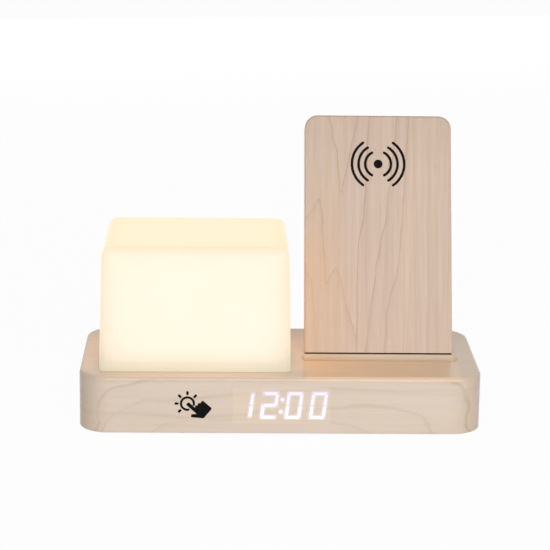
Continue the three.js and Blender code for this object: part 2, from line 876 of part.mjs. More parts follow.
function makeDisplayModule() {
  const face = frontY + veneerThickness + seatGap + segmentRaise;
  const body = block(
    [displayX - moduleWidth / 2, face, displayZ - moduleHeight / 2],
    [displayX + moduleWidth / 2, displayBoardFront - seatGap, displayZ + moduleHeight / 2],
  );
  const firstDigit = -(digitCount - 1) / 2 * digitPitch;
  const digits = [];
  for (let order = 0; order < digitCount; order += 1) {
    digits.push(...digitBars(firstDigit + order * digitPitch));
  }
  const slant = Math.tan(THREE.MathUtils.degToRad(digitSlant));
  const dots = [-colonSpread / 2, colonSpread / 2].map((y) => {
    const dot = new THREE.CylinderGeometry(colonRadius, colonRadius, segmentRaise + overrun, smallSides);
    return dot.rotateX(Math.PI / 2).translate(y * slant, y, (segmentRaise + overrun) / 2);
  });
  const raised = [...digits, ...dots].map((geometry) =>
    geometry.translate(0, 0, -overrun).rotateX(Math.PI / 2).translate(displayX, face, displayZ));
  return geometryOf(join([body, ...raised]));
}

class SpringPath extends THREE.Curve {
  getPoint(t, target = new THREE.Vector3()) {
    const angle = t * springTurns * 2 * Math.PI;
    const radius = touchSpringNeck + (touchSpringRadius - touchSpringNeck) * t;
    const start = displayBoardFront - seatGap - touchWireRadius;
    const end = frontY + touchSkin + seatGap + touchWireRadius;
    const y = start + (end - start) * t;
    return target.set(touchX + radius * Math.cos(angle), y, displayZ + radius * Math.sin(angle));
  }
}

function makeTouchSpring() {
  const outline = [];
  for (let side = 0; side < springSides; side += 1) {
    const angle = side / springSides * 2 * Math.PI;
    outline.push(new THREE.Vector2(touchWireRadius * Math.cos(angle), touchWireRadius * Math.sin(angle)));
  }
  const steps = springTurns * springStepsPerTurn;
  return new THREE.ExtrudeGeometry(new THREE.Shape(outline), { steps, extrudePath: new SpringPath() });
}

function makeDisplayBoard() {
  const plate = block(
    [displayBoardLeft, displayBoardFront, displayZ - displayBoardHeight / 2],
    [displayBoardRight, displayBoardBack, displayZ + displayBoardHeight / 2],
  );
  const holes = displayScrews.map((x) => rod(
    x,
    displayZ,
    displayBoardFront - overrun,
    displayBoardBack + overrun,
    smallScrewRadius + slideGap,
  ));
  return geometryOf(carve(solid(plate), holes));
}

function addDisplay() {
  addPiece('display_module', makeDisplayModule(), greyPlastic);
  addPiece('display_board', makeDisplayBoard(), greenBoard);
  addPiece('touch_spring', makeTouchSpring(), steel);
  const sides = ['left', 'right'];
  displayScrews.forEach((x, order) => {
    const fixing = screw(smallScrew).rotateX(Math.PI / 2);
    const seat = displayBoardBack + smallScrewHeadHeight + seatGap;
    addPiece(`display_screw_${sides[order]}`, fixing.translate(x, seat, displayZ), steel);
  });
}

// Main board with its plug headers, and the parts soldered on it
function makeMainBoard() {
  const plate = block([boardLeft, boardFront, boardLow], [boardRight, boardRear, boardTop]);
  const base = boardTop - boardThickness / 2;
  const headers = [chargerHeader, lampHeader].map(({ x, y }) =>
    block([x, y, base], [x + headerWidth, y + headerDepth, boardTop + headerHeight]));
  const ribbonHeaderFront = boardFront + headerInset;
  const ribbonHeaderBack = ribbonHeaderFront + ribbonHeaderDepth;
  const ribbonHeader = block(
    [displayX - ribbonHeaderWidth / 2, ribbonHeaderFront, base],
    [displayX + ribbonHeaderWidth / 2, ribbonHeaderBack, boardTop + headerHeight],
  );
  const { screws, pegs } = boardFixings();
  const hole = (place, radius) =>
    post(place.x, place.y, boardLow - overrun, boardTop + overrun, radius + slideGap);
  const holes = [
    ...screws.map((place) => hole(place, smallScrewRadius)),
    ...pegs.map((place) => hole(place, pegRadius)),
  ];
  return geometryOf(carve(join([plate, ...headers, ribbonHeader]), holes));
}

function makeClockChip() {
  const x = clockChipX;
  const low = boardTop + chipLegThickness;
  const body = roundedBlock({
    x,
    y: rowY,
    low,
    high: low + clockChipHeight,
    width: clockChipWidth,
    depth: clockChipDepth,
    radius: leastRadius,
    steps: smallSteps,
    topWidth: clockChipWidth - chipLegThickness,
    topDepth: clockChipDepth - chipLegThickness,
  });
  const legs = [];
  const perSide = Math.floor(clockChipWidth / chipLegPitch / 2) * 2;
  for (let leg = 0; leg < perSide; leg += 1) {
    const legX = x + (leg - (perSide - 1) / 2) * chipLegPitch;
    legs.push(block(
      [legX - chipLegWidth / 2, rowY - clockChipDepth / 2 - chipLegReach, boardTop + seatGap],
      [legX + chipLegWidth / 2, rowY + clockChipDepth / 2 + chipLegReach, low + chipLegThickness],
    ));
  }
  return geometryOf(join([body, ...legs]));
}

function makeBuzzer() {
  const outline = [
    [0, 0],
    [buzzerRadius, 0],
    [buzzerRadius, buzzerHeight - leastRadius],
    [buzzerRadius - leastRadius, buzzerHeight],
    [buzzerHole, buzzerHeight],
    [buzzerHole, buzzerHeight - buzzerHoleDepth],
    [0, buzzerHeight - buzzerHoleDepth],
  ];
  return turned(outline).translate(buzzerX, rowY, boardTop + seatGap);
}

function addMainBoard() {
  addPiece('main_board', makeMainBoard(), greenBoard);
  addPiece('clock_chip', makeClockChip(), blackPlastic);
  addPiece('buzzer', makeBuzzer(), blackPlastic);
  const crystal = roundedBlock({
    x: crystalX,
    y: rowY,
    low: boardTop + seatGap,
    high: boardTop + seatGap + crystalHeight,
    width: crystalLength,
    depth: crystalWidth,
    radius: crystalWidth / 2 - leastRadius,
    steps: smallSteps * 2,
    topFillet: leastRadius,
  });
  addPiece('crystal', crystal, steel);
  for (const { name, x, y } of boardFixings().screws) {
    const fixing = screw(smallScrew).rotateX(Math.PI);
    const seat = boardTop + smallScrewHeadHeight + seatGap;
    addPiece(`board_screw_${name}`, fixing.translate(x, y, seat), steel);
  }
}

// Rear controls: plate, three push buttons with their switches, and the power inlet
function inletHole() {
  return wallPlate({
    x: inletX,
    z: controlZ,
    width: inletWidth + 2 * slideGap,
    height: inletHeight + 2 * slideGap,
    radius: inletHeight / 2 + slideGap / 2,
    front: plateInner - plateRimDepth - overrun,
    back: rearY + overrun,
  });
}

function makeRearPlate() {
  const plate = wallPlate({
    x: 0,
    z: controlZ,
    width: plateWidth,
    height: plateHeight,
    radius: plateRadius,
    front: plateInner,
    back: rearY,
  });
  const rimWidth = plateWidth - 2 * plateLedge - 2 * slideGap;
  const rimHeight = plateHeight - 2 * plateLedge - 2 * slideGap;
  const rim = wallPlate({
    x: 0,
    z: controlZ,
    width: rimWidth,
    height: rimHeight,
    radius: plateRadius - plateLedge,
    front: plateInner - plateRimDepth,
    back: plateInner + plateThickness / 2,
  });
  const inside = wallPlate({
    x: 0,
    z: controlZ,
    width: rimWidth - 2 * plateRimWidth,
    height: rimHeight - 2 * plateRimWidth,
    radius: leastRadius,
    front: plateInner - plateRimDepth - overrun,
    back: plateInner,
  });
  const buttonHoles = buttonPlaces.map(({ x }) =>
    rod(x, controlZ, plateInner - overrun, rearY + overrun, buttonRadius + slideGap, roundSides));
  return geometryOf(carve(join([plate, rim]), [inside, inletHole(), ...buttonHoles]));
}

function makeButton(x) {
  const flangeBack = plateInner - seatGap;
  const flangeFront = flangeBack - buttonFlangeThickness;
  const stemFront = boardRear + switchPlunger + buttonTravel + pressClearance;
  const outline = [
    [0, stemFront],
    [buttonStemRadius, stemFront],
    [buttonStemRadius, flangeFront],
    [buttonRadius + buttonFlange, flangeFront],
    [buttonRadius + buttonFlange, flangeBack],
    [buttonRadius, flangeBack],
    [buttonRadius, rearY + buttonProud - buttonEdge],
    [buttonRadius - buttonEdge, rearY + buttonProud],
    [0, rearY + buttonProud],
  ];
  const points = outline.map(([radius, y]) => new THREE.Vector2(radius, y));
  return new THREE.LatheGeometry(points, roundSides).translate(x, 0, controlZ);
}

function makeSwitch(x) {
  const front = boardRear - switchDepth;
  const body = block(
    [x - switchWidth / 2, front, boardTop + seatGap],
    [x + switchWidth / 2, boardRear, boardTop + seatGap + inletHeight],
  );
  const plungerFront = boardRear - switchDepth / 2;
  const plunger = rod(x, controlZ, plungerFront, boardRear + switchPlunger, switchPlungerRadius);
  return geometryOf(join([body, plunger]));
}

function makeInletShell() {
  const mouth = rearY - inletRecess;
  const outer = wallPlate({
    x: inletX,
    z: controlZ,
    width: inletWidth,
    height: inletHeight,
    radius: inletHeight / 2 - leastRadius / 2,
    front: mouth - inletDepth,
    back: mouth,
  });
  const inner = wallPlate({
    x: inletX,
    z: controlZ,
    width: inletWidth - 2 * inletWall,
    height: inletHeight - 2 * inletWall,
    radius: inletHeight / 2 - inletWall - leastRadius / 2,
    front: mouth - inletDepth + inletBack,
    back: mouth + overrun,
  });
  return geometryOf(carve(solid(outer), [inner]));
}

function addRearControls() {
  addPiece('rear_plate', makeRearPlate(), blackPlastic);
  for (const { name, x } of buttonPlaces) {
    addPiece(`button_${name}`, makeButton(x), greyPlastic);
    addPiece(`switch_${name}`, makeSwitch(x), blackPlastic);
  }
  addPiece('inlet_shell', makeInletShell(), steel);
  const tongueFront = rearY - inletRecess - inletDepth + inletBack + seatGap;
  const tongue = wallPlate({
    x: inletX,
    z: controlZ,
    width: tongueWidth,
    height: tongueThickness,
    radius: leastRadius,
    front: tongueFront,
    back: tongueFront + tongueLength,
  });
  addPiece('inlet_tongue', tongue, blackPlastic);
}

// Coin cell: contact above it, and the turning cap with its two lugs below it
function addCoinCell() {
  const outline = [
    [0, 0],
    [cellRadius - cellEdge, 0],
    [cellRadius, cellEdge],
    [cellRadius, cellThickness],
    [0, cellThickness],
  ];
  addPiece('coin_cell', turned(outline).translate(cellX, cellY, cellLow), steel);
  const contact = block(
    [cellX - cellRadius / Math.SQRT2, cellY - contactWidth / 2, contactLow],
    [cellX + cellRadius / Math.SQRT2, cellY + contactWidth / 2, contactLow + contactThickness],
  );
  addPiece('cell_contact', contact, steel);

  const discTop = baseLow + capDiscThickness;
  const disc = post(cellX, cellY, baseLow, discTop, capRadius, roundSides);
  const plug = post(cellX, cellY, baseLow + capDiscThickness / 2, capTop, capPlugRadius, roundSides);
  const lugs = [0, 1].map((side) => lugSector(
    capPlugRadius / 2,
    capPlugRadius + capLugReach,
    capTop - capLugThickness,
    capTop,
    side * halfTurn,
    capLugAngle,
  ));
  const slot = block(
    [cellX - coinSlotLength / 2, cellY - coinSlotWidth / 2, baseLow - overrun],
    [cellX + coinSlotLength / 2, cellY + coinSlotWidth / 2, baseLow + coinSlotDepth],
  );
  addPiece('battery_cap', geometryOf(carve(join([disc, plug, ...lugs]), [slot])), blackPlastic);
}

// Lamp: translucent shade over a seat that carries the metal board and its light chips
function shadeInside(height) {
  const riseShare = height / lampHeight;
  return {
    width: lampWidth - lampWidthDraft * riseShare - 2 * lampWall,
    depth: lampDepth - lampDepthDraft * riseShare - 2 * lampWall,
  };
}

function makeShade() {
  const low = baseTop + seatGap;
  const high = low + lampHeight;
  const outer = roundedBlock({
    x: lampX,
    y: lampY,
    low,
    high,
    width: lampWidth,
    depth: lampDepth,
    radius: lampCornerRadius,
    topWidth: lampWidth - lampWidthDraft,
    topDepth: lampDepth - lampDepthDraft,
    topFillet: lampTopFillet,
    lowFillet: lampBottomFillet,
  });
  const foot = shadeInside(0);
  const crown = shadeInside(lampHeight);
  const inner = roundedBlock({
    x: lampX,
    y: lampY,
    low: low - overrun,
    high: high - lampWall,
    width: foot.width,
    depth: foot.depth,
    radius: lampCornerRadius - lampWall,
    steps: smallSteps * 2,
    topWidth: crown.width,
    topDepth: crown.depth,
    topFillet: lampTopFillet - lampWall,
  });
  return geometryOf(carve(solid(outer), [inner]));
}

function ledPosts() {
  const reachX = ledBoardWidth / 2 - ledPostInset;
  const reachY = ledBoardDepth / 2 - ledPostInset;
  return [
    { name: 'left', x: lampX - reachX, y: lampY - reachY },
    { name: 'right', x: lampX + reachX, y: lampY + reachY },
  ];
}

function makeLampSeat() {
  const low = baseTop + seatGap;
  const inside = shadeInside(seatHeight + seatGap);
  const width = inside.width - 2 * slideGap;
  const depth = inside.depth - 2 * slideGap;
  const tray = roundedBlock({
    x: lampX,
    y: lampY,
    low,
    high: low + seatHeight,
    width,
    depth,
    radius: seatCornerRadius,
    steps: smallSteps * 2,
  });
  const room = roundedBlock({
    x: lampX,
    y: lampY,
    low: low + seatFloor,
    high: low + seatHeight + overrun,
    width: width - 2 * seatRim,
    depth: depth - 2 * seatRim,
    radius: seatCornerRadius - seatRim,
    steps: smallSteps,
  });
  const hollow = carve(solid(tray), [room]);
  const posts = [
    ...lampScrews.map((x) => post(x, lampY, low + seatFloor / 2, low + seatPostHeight, seatPostRadius)),
    ...ledPosts().map(({ x, y }) => post(x, y, low + seatFloor / 2, low + seatPostHeight, ledPostRadius)),
  ];
  const whole = posts.map(solid).reduce((sum, next) => sum.add(next), hollow);
  const tip = ledBoardLow + ledBoardThickness + smallScrewHeadHeight - smallScrewLength;
  const cuts = [
    ...lampScrews.map((x) => post(x, lampY, low - overrun, low + seatHeight, screwRadius + pilotGap)),
    ...ledPosts().map(({ x, y }) => post(x, y, tip, ledBoardLow + overrun, smallScrewRadius + pilotGap)),
    post(lampLead.x, lampLead.y, low - overrun, low + seatHeight, leadRadius + leadHoleGap),
  ];
  return geometryOf(carve(whole, cuts));
}

function makeLedBoard() {
  const plate = roundedBlock({
    x: lampX,
    y: lampY,
    low: ledBoardLow,
    high: ledBoardLow + ledBoardThickness,
    width: ledBoardWidth,
    depth: ledBoardDepth,
    radius: ledBoardRadius,
    steps: smallSteps * 2,
  });
  const top = ledBoardLow + ledBoardThickness + overrun;
  const holes = ledPosts().map(({ x, y }) =>
    post(x, y, ledBoardLow - overrun, top, smallScrewRadius + slideGap));
  return geometryOf(carve(solid(plate), holes));
}

function addLamp() {
  addPiece('lamp_shade', makeShade(), milkPlastic);
  addPiece('lamp_seat', makeLampSeat(), whitePlastic);
  addPiece('lamp_led_board', makeLedBoard(), aluminium);
  const seat = ledBoardLow + ledBoardThickness;
  for (const { name, x, y } of corners) {
    const low = seat + seatGap;
    const chip = roundedBlock({
      x: lampX + x * (ledBoardWidth / 2 - ledInsetX),
      y: lampY + y * (ledBoardDepth / 2 - ledInsetY),
      low,
      high: low + ledHeight,
      width: ledSize,
      depth: ledSize,
      radius: ledEdge,
      steps: smallSteps,
      topWidth: ledSize - ledEdge,
      topDepth: ledSize - ledEdge,
    });
    addPiece(`lamp_led_${name}`, chip, lightChip);
  }
  for (const { name, x, y } of ledPosts()) {
    const fixing = screw(smallScrew).rotateX(Math.PI);
    addPiece(`led_screw_${name}`, fixing.translate(x, y, seat + smallScrewHeadHeight + seatGap), steel);
  }
  const sides = ['left', 'right'];
  lampScrews.forEach((x, order) => {
    const length = screwHeadHeight + topThickness + seatPostHeight - 2 * seatGap;
    const fixing = screw({ ...largeScrew, length });
    const low = cavityTop - seatGap - screwHeadHeight;
    addPiece(`lamp_screw_${sides[order]}`, fixing.translate(x, lampY, low), steel);
  });
}

// Charging panel: front and back boards, leaning back, their foot cut level with the base
function panelBoard(frontDepth, backDepth, frontFillet, backFillet) {
  const back = filletStations(backFillet).map(({ inset, rise }) => ({ inset, depth: backDepth - rise }));
  const front = filletStations(frontFillet).map(({ inset, rise }) => ({ inset, depth: frontDepth + rise }));
  const rings = [...back, ...front.reverse()].map(({ inset, depth }) => {
    const edges = {
      left: inset - panelWidth / 2,
      right: panelWidth / 2 - inset,
      low: depth * Math.tan(lean) + inset,
      high: panelHeight - inset,
      lowRadius: panelBottomRadius - inset,
      highRadius: panelTopRadius - inset,
      steps: cornerSteps,
    };
    return roundedRing(edges, -depth);
  });
  return loft(rings);
}

function makeFrontPanel() {
  const board = panelBoard(0, frontPanelThickness, panelFrontFillet, 0);
  const edges = {
    left: panelEdgeWall - panelWidth / 2,
    right: panelWidth / 2 - panelEdgeWall,
    low: panelFootWall,
    high: panelHeight - panelEdgeWall,
    lowRadius: pocketRadius,
    highRadius: pocketRadius,
    steps: smallSteps,
  };
  const pocket = loft([
    roundedRing(edges, -frontPanelThickness - overrun),
    roundedRing(edges, -panelSkin),
  ]);
  const channel = block(
    [-legWidth / 2 - turnedGap, -panelFootWall, -frontPanelThickness - overrun],
    [legWidth / 2 + turnedGap, panelFootWall + overrun, turnedGap - legDepth],
  );
  const leadChannel = block(
    [chargerLeadOffset - leadRadius - leadHoleGap, -panelFootWall, -frontPanelThickness - overrun],
    [chargerLeadOffset + leadRadius + leadHoleGap, panelFootWall + overrun, -panelSkin],
  );
  const hollow = carve(solid(board), [pocket, channel, leadChannel]);
  const rails = [-1, 1].map((side) => {
    const middle = side * (chargerBoardWidth / 2 - railWidth / 2);
    return block(
      [middle - railWidth / 2, chargerBoardLow, -panelSkin - railDepth],
      [middle + railWidth / 2, chargerBoardLow + chargerBoardHeight, -panelSkin / 2],
    );
  });
  const pads = legScrews.map((x) =>
    post(x, legScrewHeight, turnedGap - legDepth, -panelSkin / 2, screwHeadRadius));
  const whole = [...rails, ...pads].map(solid).reduce((sum, next) => sum.add(next), hollow);
  const pilots = legScrews.map((x) => legPilot(x, smallScrewRadius + pilotGap));
  return geometryOf(carve(whole, pilots));
}

function legPilot(x, radius) {
  const back = legDepth + legThickness + overrun;
  const front = legDepth + legThickness + turnedGap - legScrewLength() - seatGap;
  return post(x, legScrewHeight, -back, -front, radius);
}

function legScrewLength() {
  return legThickness + turnedGap + legDepth - panelSkin / 2;
}

function makeBracket() {
  const leg = solid(legSlot(0).applyMatrix4(panelFrame.matrix));
  const overCut = block([leftX, frontY, bracketLow], [rightX, rearY, baseTop + panelHeight]);
  const legWhole = leg.intersect(solid(overCut));
  const flange = block(
    [panelX - legWidth / 2, panelY - flangeLip, bracketLow],
    [panelX + legWidth / 2, panelY + flangeReach, bracketTop],
  );
  const whole = legWhole.add(solid(flange));
  const flangeHoles = legScrews.map((offset) => post(
    panelX + offset,
    panelY + bracketScrewReach,
    bracketLow - overrun,
    bracketTop + overrun,
    screwRadius + slideGap,
  ));
  const legHoles = legScrews.map((x) =>
    legPilot(x, smallScrewRadius + slideGap).applyMatrix4(panelFrame.matrix));
  return geometryOf(carve(whole, [...flangeHoles, ...legHoles]));
}

function makeCoil() {
  const front = -panelSkin - turnedGap;
  const back = front - coilThickness;
  const outline = [
    [coilHoleRadius, back],
    [coilRadius, back],
    [coilRadius, front],
    [coilHoleRadius, front],
    [coilHoleRadius, back],
  ];
  return turned(outline).translate(0, coilHeight, 0);
}

function addPanel() {
  addPiece('charger_front_panel', makeFrontPanel(), maple, panelFrame);
  const backBoard = panelBoard(frontPanelThickness + turnedGap, panelThickness, 0, panelBackFillet);
  addPiece('charger_back_panel', backBoard, maple, panelFrame);
  addPiece('charging_coil', makeCoil(), copper, panelFrame);
  const ferriteFront = -panelSkin - turnedGap - coilThickness - turnedGap;
  const sheet = post(
    0,
    coilHeight,
    ferriteFront - ferriteThickness,
    ferriteFront,
    coilRadius + ferriteMargin,
    roundSides,
  );
  addPiece('ferrite_sheet', sheet, ferrite, panelFrame);
  const boardFrontDepth = panelSkin + railDepth + turnedGap;
  const board = block(
    [-chargerBoardWidth / 2, chargerBoardLow, -boardFrontDepth - chargerBoardThickness],
    [chargerBoardWidth / 2, chargerBoardLow + chargerBoardHeight, -boardFrontDepth],
  );
  addPiece('charger_board', board, greenBoard, panelFrame);
  const chipFront = -boardFrontDepth - chargerBoardThickness - turnedGap;
  const chip = roundedBlock({
    x: 0,
    y: chargerBoardLow + chargerBoardHeight / 2,
    low: chipFront - chargerChipHeight,
    high: chipFront,
    width: chargerChipSize,
    depth: chargerChipSize,
    radius: leastRadius,
    steps: smallSteps,
    topWidth: chargerChipSize + chargerChipBevel,
    topDepth: chargerChipSize + chargerChipBevel,
  });
  addPiece('charger_chip', chip, blackPlastic, panelFrame);
  addPiece('panel_bracket', makeBracket(), steel);
  const sides = ['left', 'right'];
  legScrews.forEach((offset, order) => {
    const legScrew = screw({ ...smallScrew, length: legScrewLength() + smallScrewHeadHeight });
    const headBack = -(legDepth + legThickness + turnedGap + smallScrewHeadHeight);
    legScrew.translate(offset, legScrewHeight, headBack);
    addPiece(`leg_screw_${sides[order]}`, legScrew, steel, panelFrame);
    const flangeScrew = screw({ ...largeScrew, length: shortScrewLength });
    const low = bracketLow - seatGap - screwHeadHeight;
    const place = flangeScrew.translate(panelX + offset, panelY + bracketScrewReach, low);
    addPiece(`bracket_screw_${sides[order]}`, place, steel);
  });
}

// Leads inside the clock: lamp, charger, and the flat ribbon between the two boards
function addLeads() {
  const plugZ = boardTop + headerHeight / 2;
  const lampPlug = lampHeader.x - seatGap;
  const lampPlugY = lampHeader.y + headerDepth / 2;
  const lampRoute = [
    new THREE.Vector3(lampLead.x, lampLead.y, ledBoardLow - seatGap),
    new THREE.Vector3(lampLead.x, lampLead.y, cavityTop),
    new THREE.Vector3(lampLead.x, lampLead.y, cavityTop - leadBend / 2),
    new THREE.Vector3(lampLead.x + leadBend / 2, (lampLead.y + lampPlugY) / 2, plugZ + leadBend / 2),
    new THREE.Vector3(lampPlug - leadBend, lampPlugY, plugZ),
    new THREE.Vector3(lampPlug, lampPlugY, plugZ),
  ];
  addPiece('lamp_lead', lead(lampRoute), blackPlastic);

  const inPanel = (height) =>
    new THREE.Vector3(chargerLeadOffset, height, -chargerLeadDepth).applyMatrix4(panelFrame.matrix);
  const chargerPlug = chargerHeader.x + headerWidth + seatGap;
  const chargerPlugY = chargerHeader.y + headerDepth / 2;
  const under = inPanel((cavityTop - leadBend / 2 - panelLow) / Math.cos(lean));
  const turnX = (under.x + chargerPlug + leadBend) / 2;
  const chargerRoute = [
    inPanel(chargerBoardLow - seatGap),
    inPanel(0),
    inPanel((cavityTop - panelLow) / Math.cos(lean)),
    under,
    new THREE.Vector3(turnX, (under.y + chargerPlugY) / 2, plugZ + leadBend / 2),
    new THREE.Vector3(chargerPlug + leadBend, chargerPlugY, plugZ),
    new THREE.Vector3(chargerPlug, chargerPlugY, plugZ),
  ];
  addPiece('charger_lead', lead(chargerRoute), blackPlastic);

  const start = displayBoardBack + seatGap;
  const end = boardFront + headerInset - seatGap;
  const spine = new THREE.CatmullRomCurve3([
    new THREE.Vector3(start, displayZ, 0),
    new THREE.Vector3(start + leadBend, displayZ, 0),
    new THREE.Vector3((start + end) / 2, (displayZ + plugZ) / 2 + ribbonSag, 0),
    new THREE.Vector3(end - leadBend, plugZ, 0),
    new THREE.Vector3(end, plugZ, 0),
  ]).getPoints(leadSteps);
  const half = ribbonThickness / 2;
  const upper = spine.map((point) => new THREE.Vector2(point.x, point.y + half));
  const lower = spine.map((point) => new THREE.Vector2(point.x, point.y - half));
  const outline = new THREE.Shape([...lower, ...upper.reverse()]);
  const ribbon = new THREE.ExtrudeGeometry(outline, { depth: ribbonWidth, bevelEnabled: false });
  ribbon.rotateX(Math.PI / 2).rotateZ(Math.PI / 2).translate(displayX - ribbonWidth / 2, 0, 0);
  addPiece('display_ribbon', ribbon, whitePlastic);
}

addBase();
addDisplay();
addMainBoard();
addRearControls();
addCoinCell();
addLamp();
addPanel();
addLeads();

export default clock;
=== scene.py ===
"""Looks of a desk alarm clock with a night light and a leaning charging panel, on one maple base.

Lengths are in metres, given as millimetres times MM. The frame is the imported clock's own: +X is
right, +Y is back, +Z is up, and the table is at zero. Paint counts in millimetres without MM.
"""

import json
import math

import bpy
from mathutils import Euler, Matrix, Vector


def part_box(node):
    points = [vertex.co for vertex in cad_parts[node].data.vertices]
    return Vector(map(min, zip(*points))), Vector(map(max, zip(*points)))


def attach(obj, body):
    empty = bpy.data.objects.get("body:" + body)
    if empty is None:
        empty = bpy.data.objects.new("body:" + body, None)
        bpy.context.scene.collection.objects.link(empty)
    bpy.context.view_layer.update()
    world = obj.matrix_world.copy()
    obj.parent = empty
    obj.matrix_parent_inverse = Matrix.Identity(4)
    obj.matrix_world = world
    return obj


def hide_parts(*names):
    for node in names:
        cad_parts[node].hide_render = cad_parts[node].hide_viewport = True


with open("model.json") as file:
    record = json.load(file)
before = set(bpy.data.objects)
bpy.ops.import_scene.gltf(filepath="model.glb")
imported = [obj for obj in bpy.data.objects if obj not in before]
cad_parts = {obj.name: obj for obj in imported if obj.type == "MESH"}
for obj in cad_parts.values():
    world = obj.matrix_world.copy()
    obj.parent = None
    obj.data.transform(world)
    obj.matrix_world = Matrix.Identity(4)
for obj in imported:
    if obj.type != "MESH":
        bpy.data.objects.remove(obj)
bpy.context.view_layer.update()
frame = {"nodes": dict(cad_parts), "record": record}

MM = 0.001
TINY = 0.01 * MM

# Base housing
BASE_CORNER = 15.6 * MM
BASE_TOP_FILLET = 2.1 * MM
BASE_BOTTOM_FILLET = 0.6 * MM
BASE_WALL = 4.5 * MM
BASE_TOP_THICKNESS = 4 * MM
COVER_GAP = 0.3 * MM
COVER_REBATE = 2.3 * MM
PLATE_GAP = 0.2 * MM
PLATE_CORNER = 4 * MM
PLATE_LEDGE = 2.4 * MM
PLATE_POCKET = 2.1 * MM
PLATE_THICKNESS = 2 * MM
PLATE_EDGE = 0.45 * MM
PLATE_RIM_WIDTH = 1.2 * MM
HOLE_GAP = 0.2 * MM
HOLE_EDGE = 0.25 * MM
GROOVE_WIDTH = 14 * MM
GROOVE_DEPTH = 1.2 * MM
GROOVE_SPARE = 3 * MM
GROOVE_END = 4 * MM

# Lamp shade
SHADE_WIDTH_DRAFT = 3 * MM
SHADE_DEPTH_DRAFT = 3.6 * MM
SHADE_CORNER = 3.8 * MM
SHADE_TOP_FILLET = 5.6 * MM
SHADE_WALL = 1.8 * MM
LED_SPREAD = 24

# Charging panel
PANEL_TOP_CORNER = 7.1 * MM
PANEL_FILLET = 0.9 * MM
PANEL_FOOT_EDGE = 0.35 * MM
PANEL_HEIGHT = 129.58 * MM
PANEL_THICKNESS = 9.86 * MM
PANEL_FRONT_THICKNESS = 6 * MM
PANEL_SEAM = 0.3 * MM
SEAM_EDGE = 0.25 * MM
BOARDS = {
    "panel_front_board": (0, PANEL_FRONT_THICKNESS, "charger_front_panel"),
    "panel_back_board": (PANEL_FRONT_THICKNESS + PANEL_SEAM, PANEL_THICKNESS, "charger_back_panel"),
}

# Lit digits behind the thin front
DIGIT_HEIGHT = 14.3 * MM
DIGIT_WIDTH = 8.1 * MM
DIGIT_PITCH = 12.7 * MM
DIGIT_SLANT = math.radians(7)
BAR_WIDTH = 1.5 * MM
BAR_GAP = 0.14 * MM
BAR_END = 0.85 * MM
MIDDLE_GAP = 0.5 * MM
BAR_CORNER = 0.75 * MM
COLON_RADIUS = 0.9 * MM
COLON_SPREAD = 6.6 * MM
DIGIT_LIFT = 0.15 * MM
SHOWN_TIME = "1200"
BARS_LIT = {
    "0": ("top", "upper_left", "upper_right", "lower_left", "lower_right", "bottom"),
    "1": ("upper_right", "lower_right"),
    "2": ("top", "upper_right", "middle", "lower_left", "bottom"),
}
STROKES = {
    "0": ((-1, -1), (-1, 1), (1, 1), (1, -1)),
    "1": ((1, -0.88), (1, 0.92)),
    "2": ((-1, 1), (1, 1), (1, 0), (-1, 0), (-1, -1), (1, -1)),
}
WINDOW_WIDTH = 50.2 * MM
WINDOW_HEIGHT = 19.4 * MM

# Printed marks
PRINT_RAISE = 0.03 * MM
PRINT_SINK = 0.05 * MM
GLOW_RAISE = 0.05 * MM
FRINGES = (("inner", 0.3 * MM, 0.04 * MM, 0.5), ("outer", 0.75 * MM, 0.03 * MM, 0.25))
FRINGE_CORNER = 0.8
RING_OFFSET = Vector((-6.0 * MM, 0, 1.1 * MM))
RING_RADIUS = 3.35 * MM
RING_STROKE = 1.2 * MM
RING_START = math.radians(-12)
RING_END = math.radians(280)
RAY_MIDDLE = 5.65 * MM
RAY_LENGTH = 2.2 * MM
RAY_WIDTH = 1.3 * MM
RAY_ANGLES = [math.radians(angle) for angle in (45, 90, 135, 180, 225)]
WAVE_RADII = [7.0 * MM, 10.6 * MM, 14.2 * MM]
WAVE_HALF_ANGLES = [math.radians(angle) for angle in (62, 58, 55)]
WAVE_STROKE = 1.45 * MM
WAVE_DOT = 2.4 * MM
TRIANGLE = 1.3 * MM
MARK_ABOVE = 5.6 * MM
MARK_STROKE = 0.4 * MM

# Rear buttons and feet
CONTROLS = ("set", "up", "down")
FEET = ("front_left", "front_right", "back_right", "back_left")
BUTTON_EDGE = 0.5 * MM
BUTTON_DISH = 0.25 * MM
BUTTON_RIM = 0.8 * MM
BUTTON_FLANGE = 0.85 * MM
BUTTON_FLANGE_THICKNESS = 1 * MM
BUTTON_STEM = 1.5 * MM
BUTTON_SEAT = 0.3 * MM
FOOT_EDGE = 0.5 * MM
FOOT_DISH = 0.2 * MM
FOOT_RIM = 1.2 * MM

# Sides and steps of round forms
OUTLINE_STEPS = 5
DISC_STEPS = 40
ARC_STEPS = 32
CAP_STEPS = 8
ROUND_SIDES = 64
TROUGH_SIDES = 256
CORNER_STEPS = 24
SHADE_STEPS = 12
FILLET_STEPS = 8
BUTTON_STEPS = 6
FOOT_STEPS = 5
EDGE_STEPS = 3
SEAM_STEPS = 2
SMOOTH_ANGLE = math.radians(35)

# Camera of the photograph, in the clock's frame
CAMERA_AZIMUTH = math.radians(-1.484)
CAMERA_ELEVATION = math.radians(14.334)
CAMERA_ROLL = math.radians(0.758)
CAMERA_TARGET = Vector((-2.662, -1.940, 74.011)) * MM
CAMERA_DISTANCE = 1125.203 * MM
CAMERA_LENS = 138.10

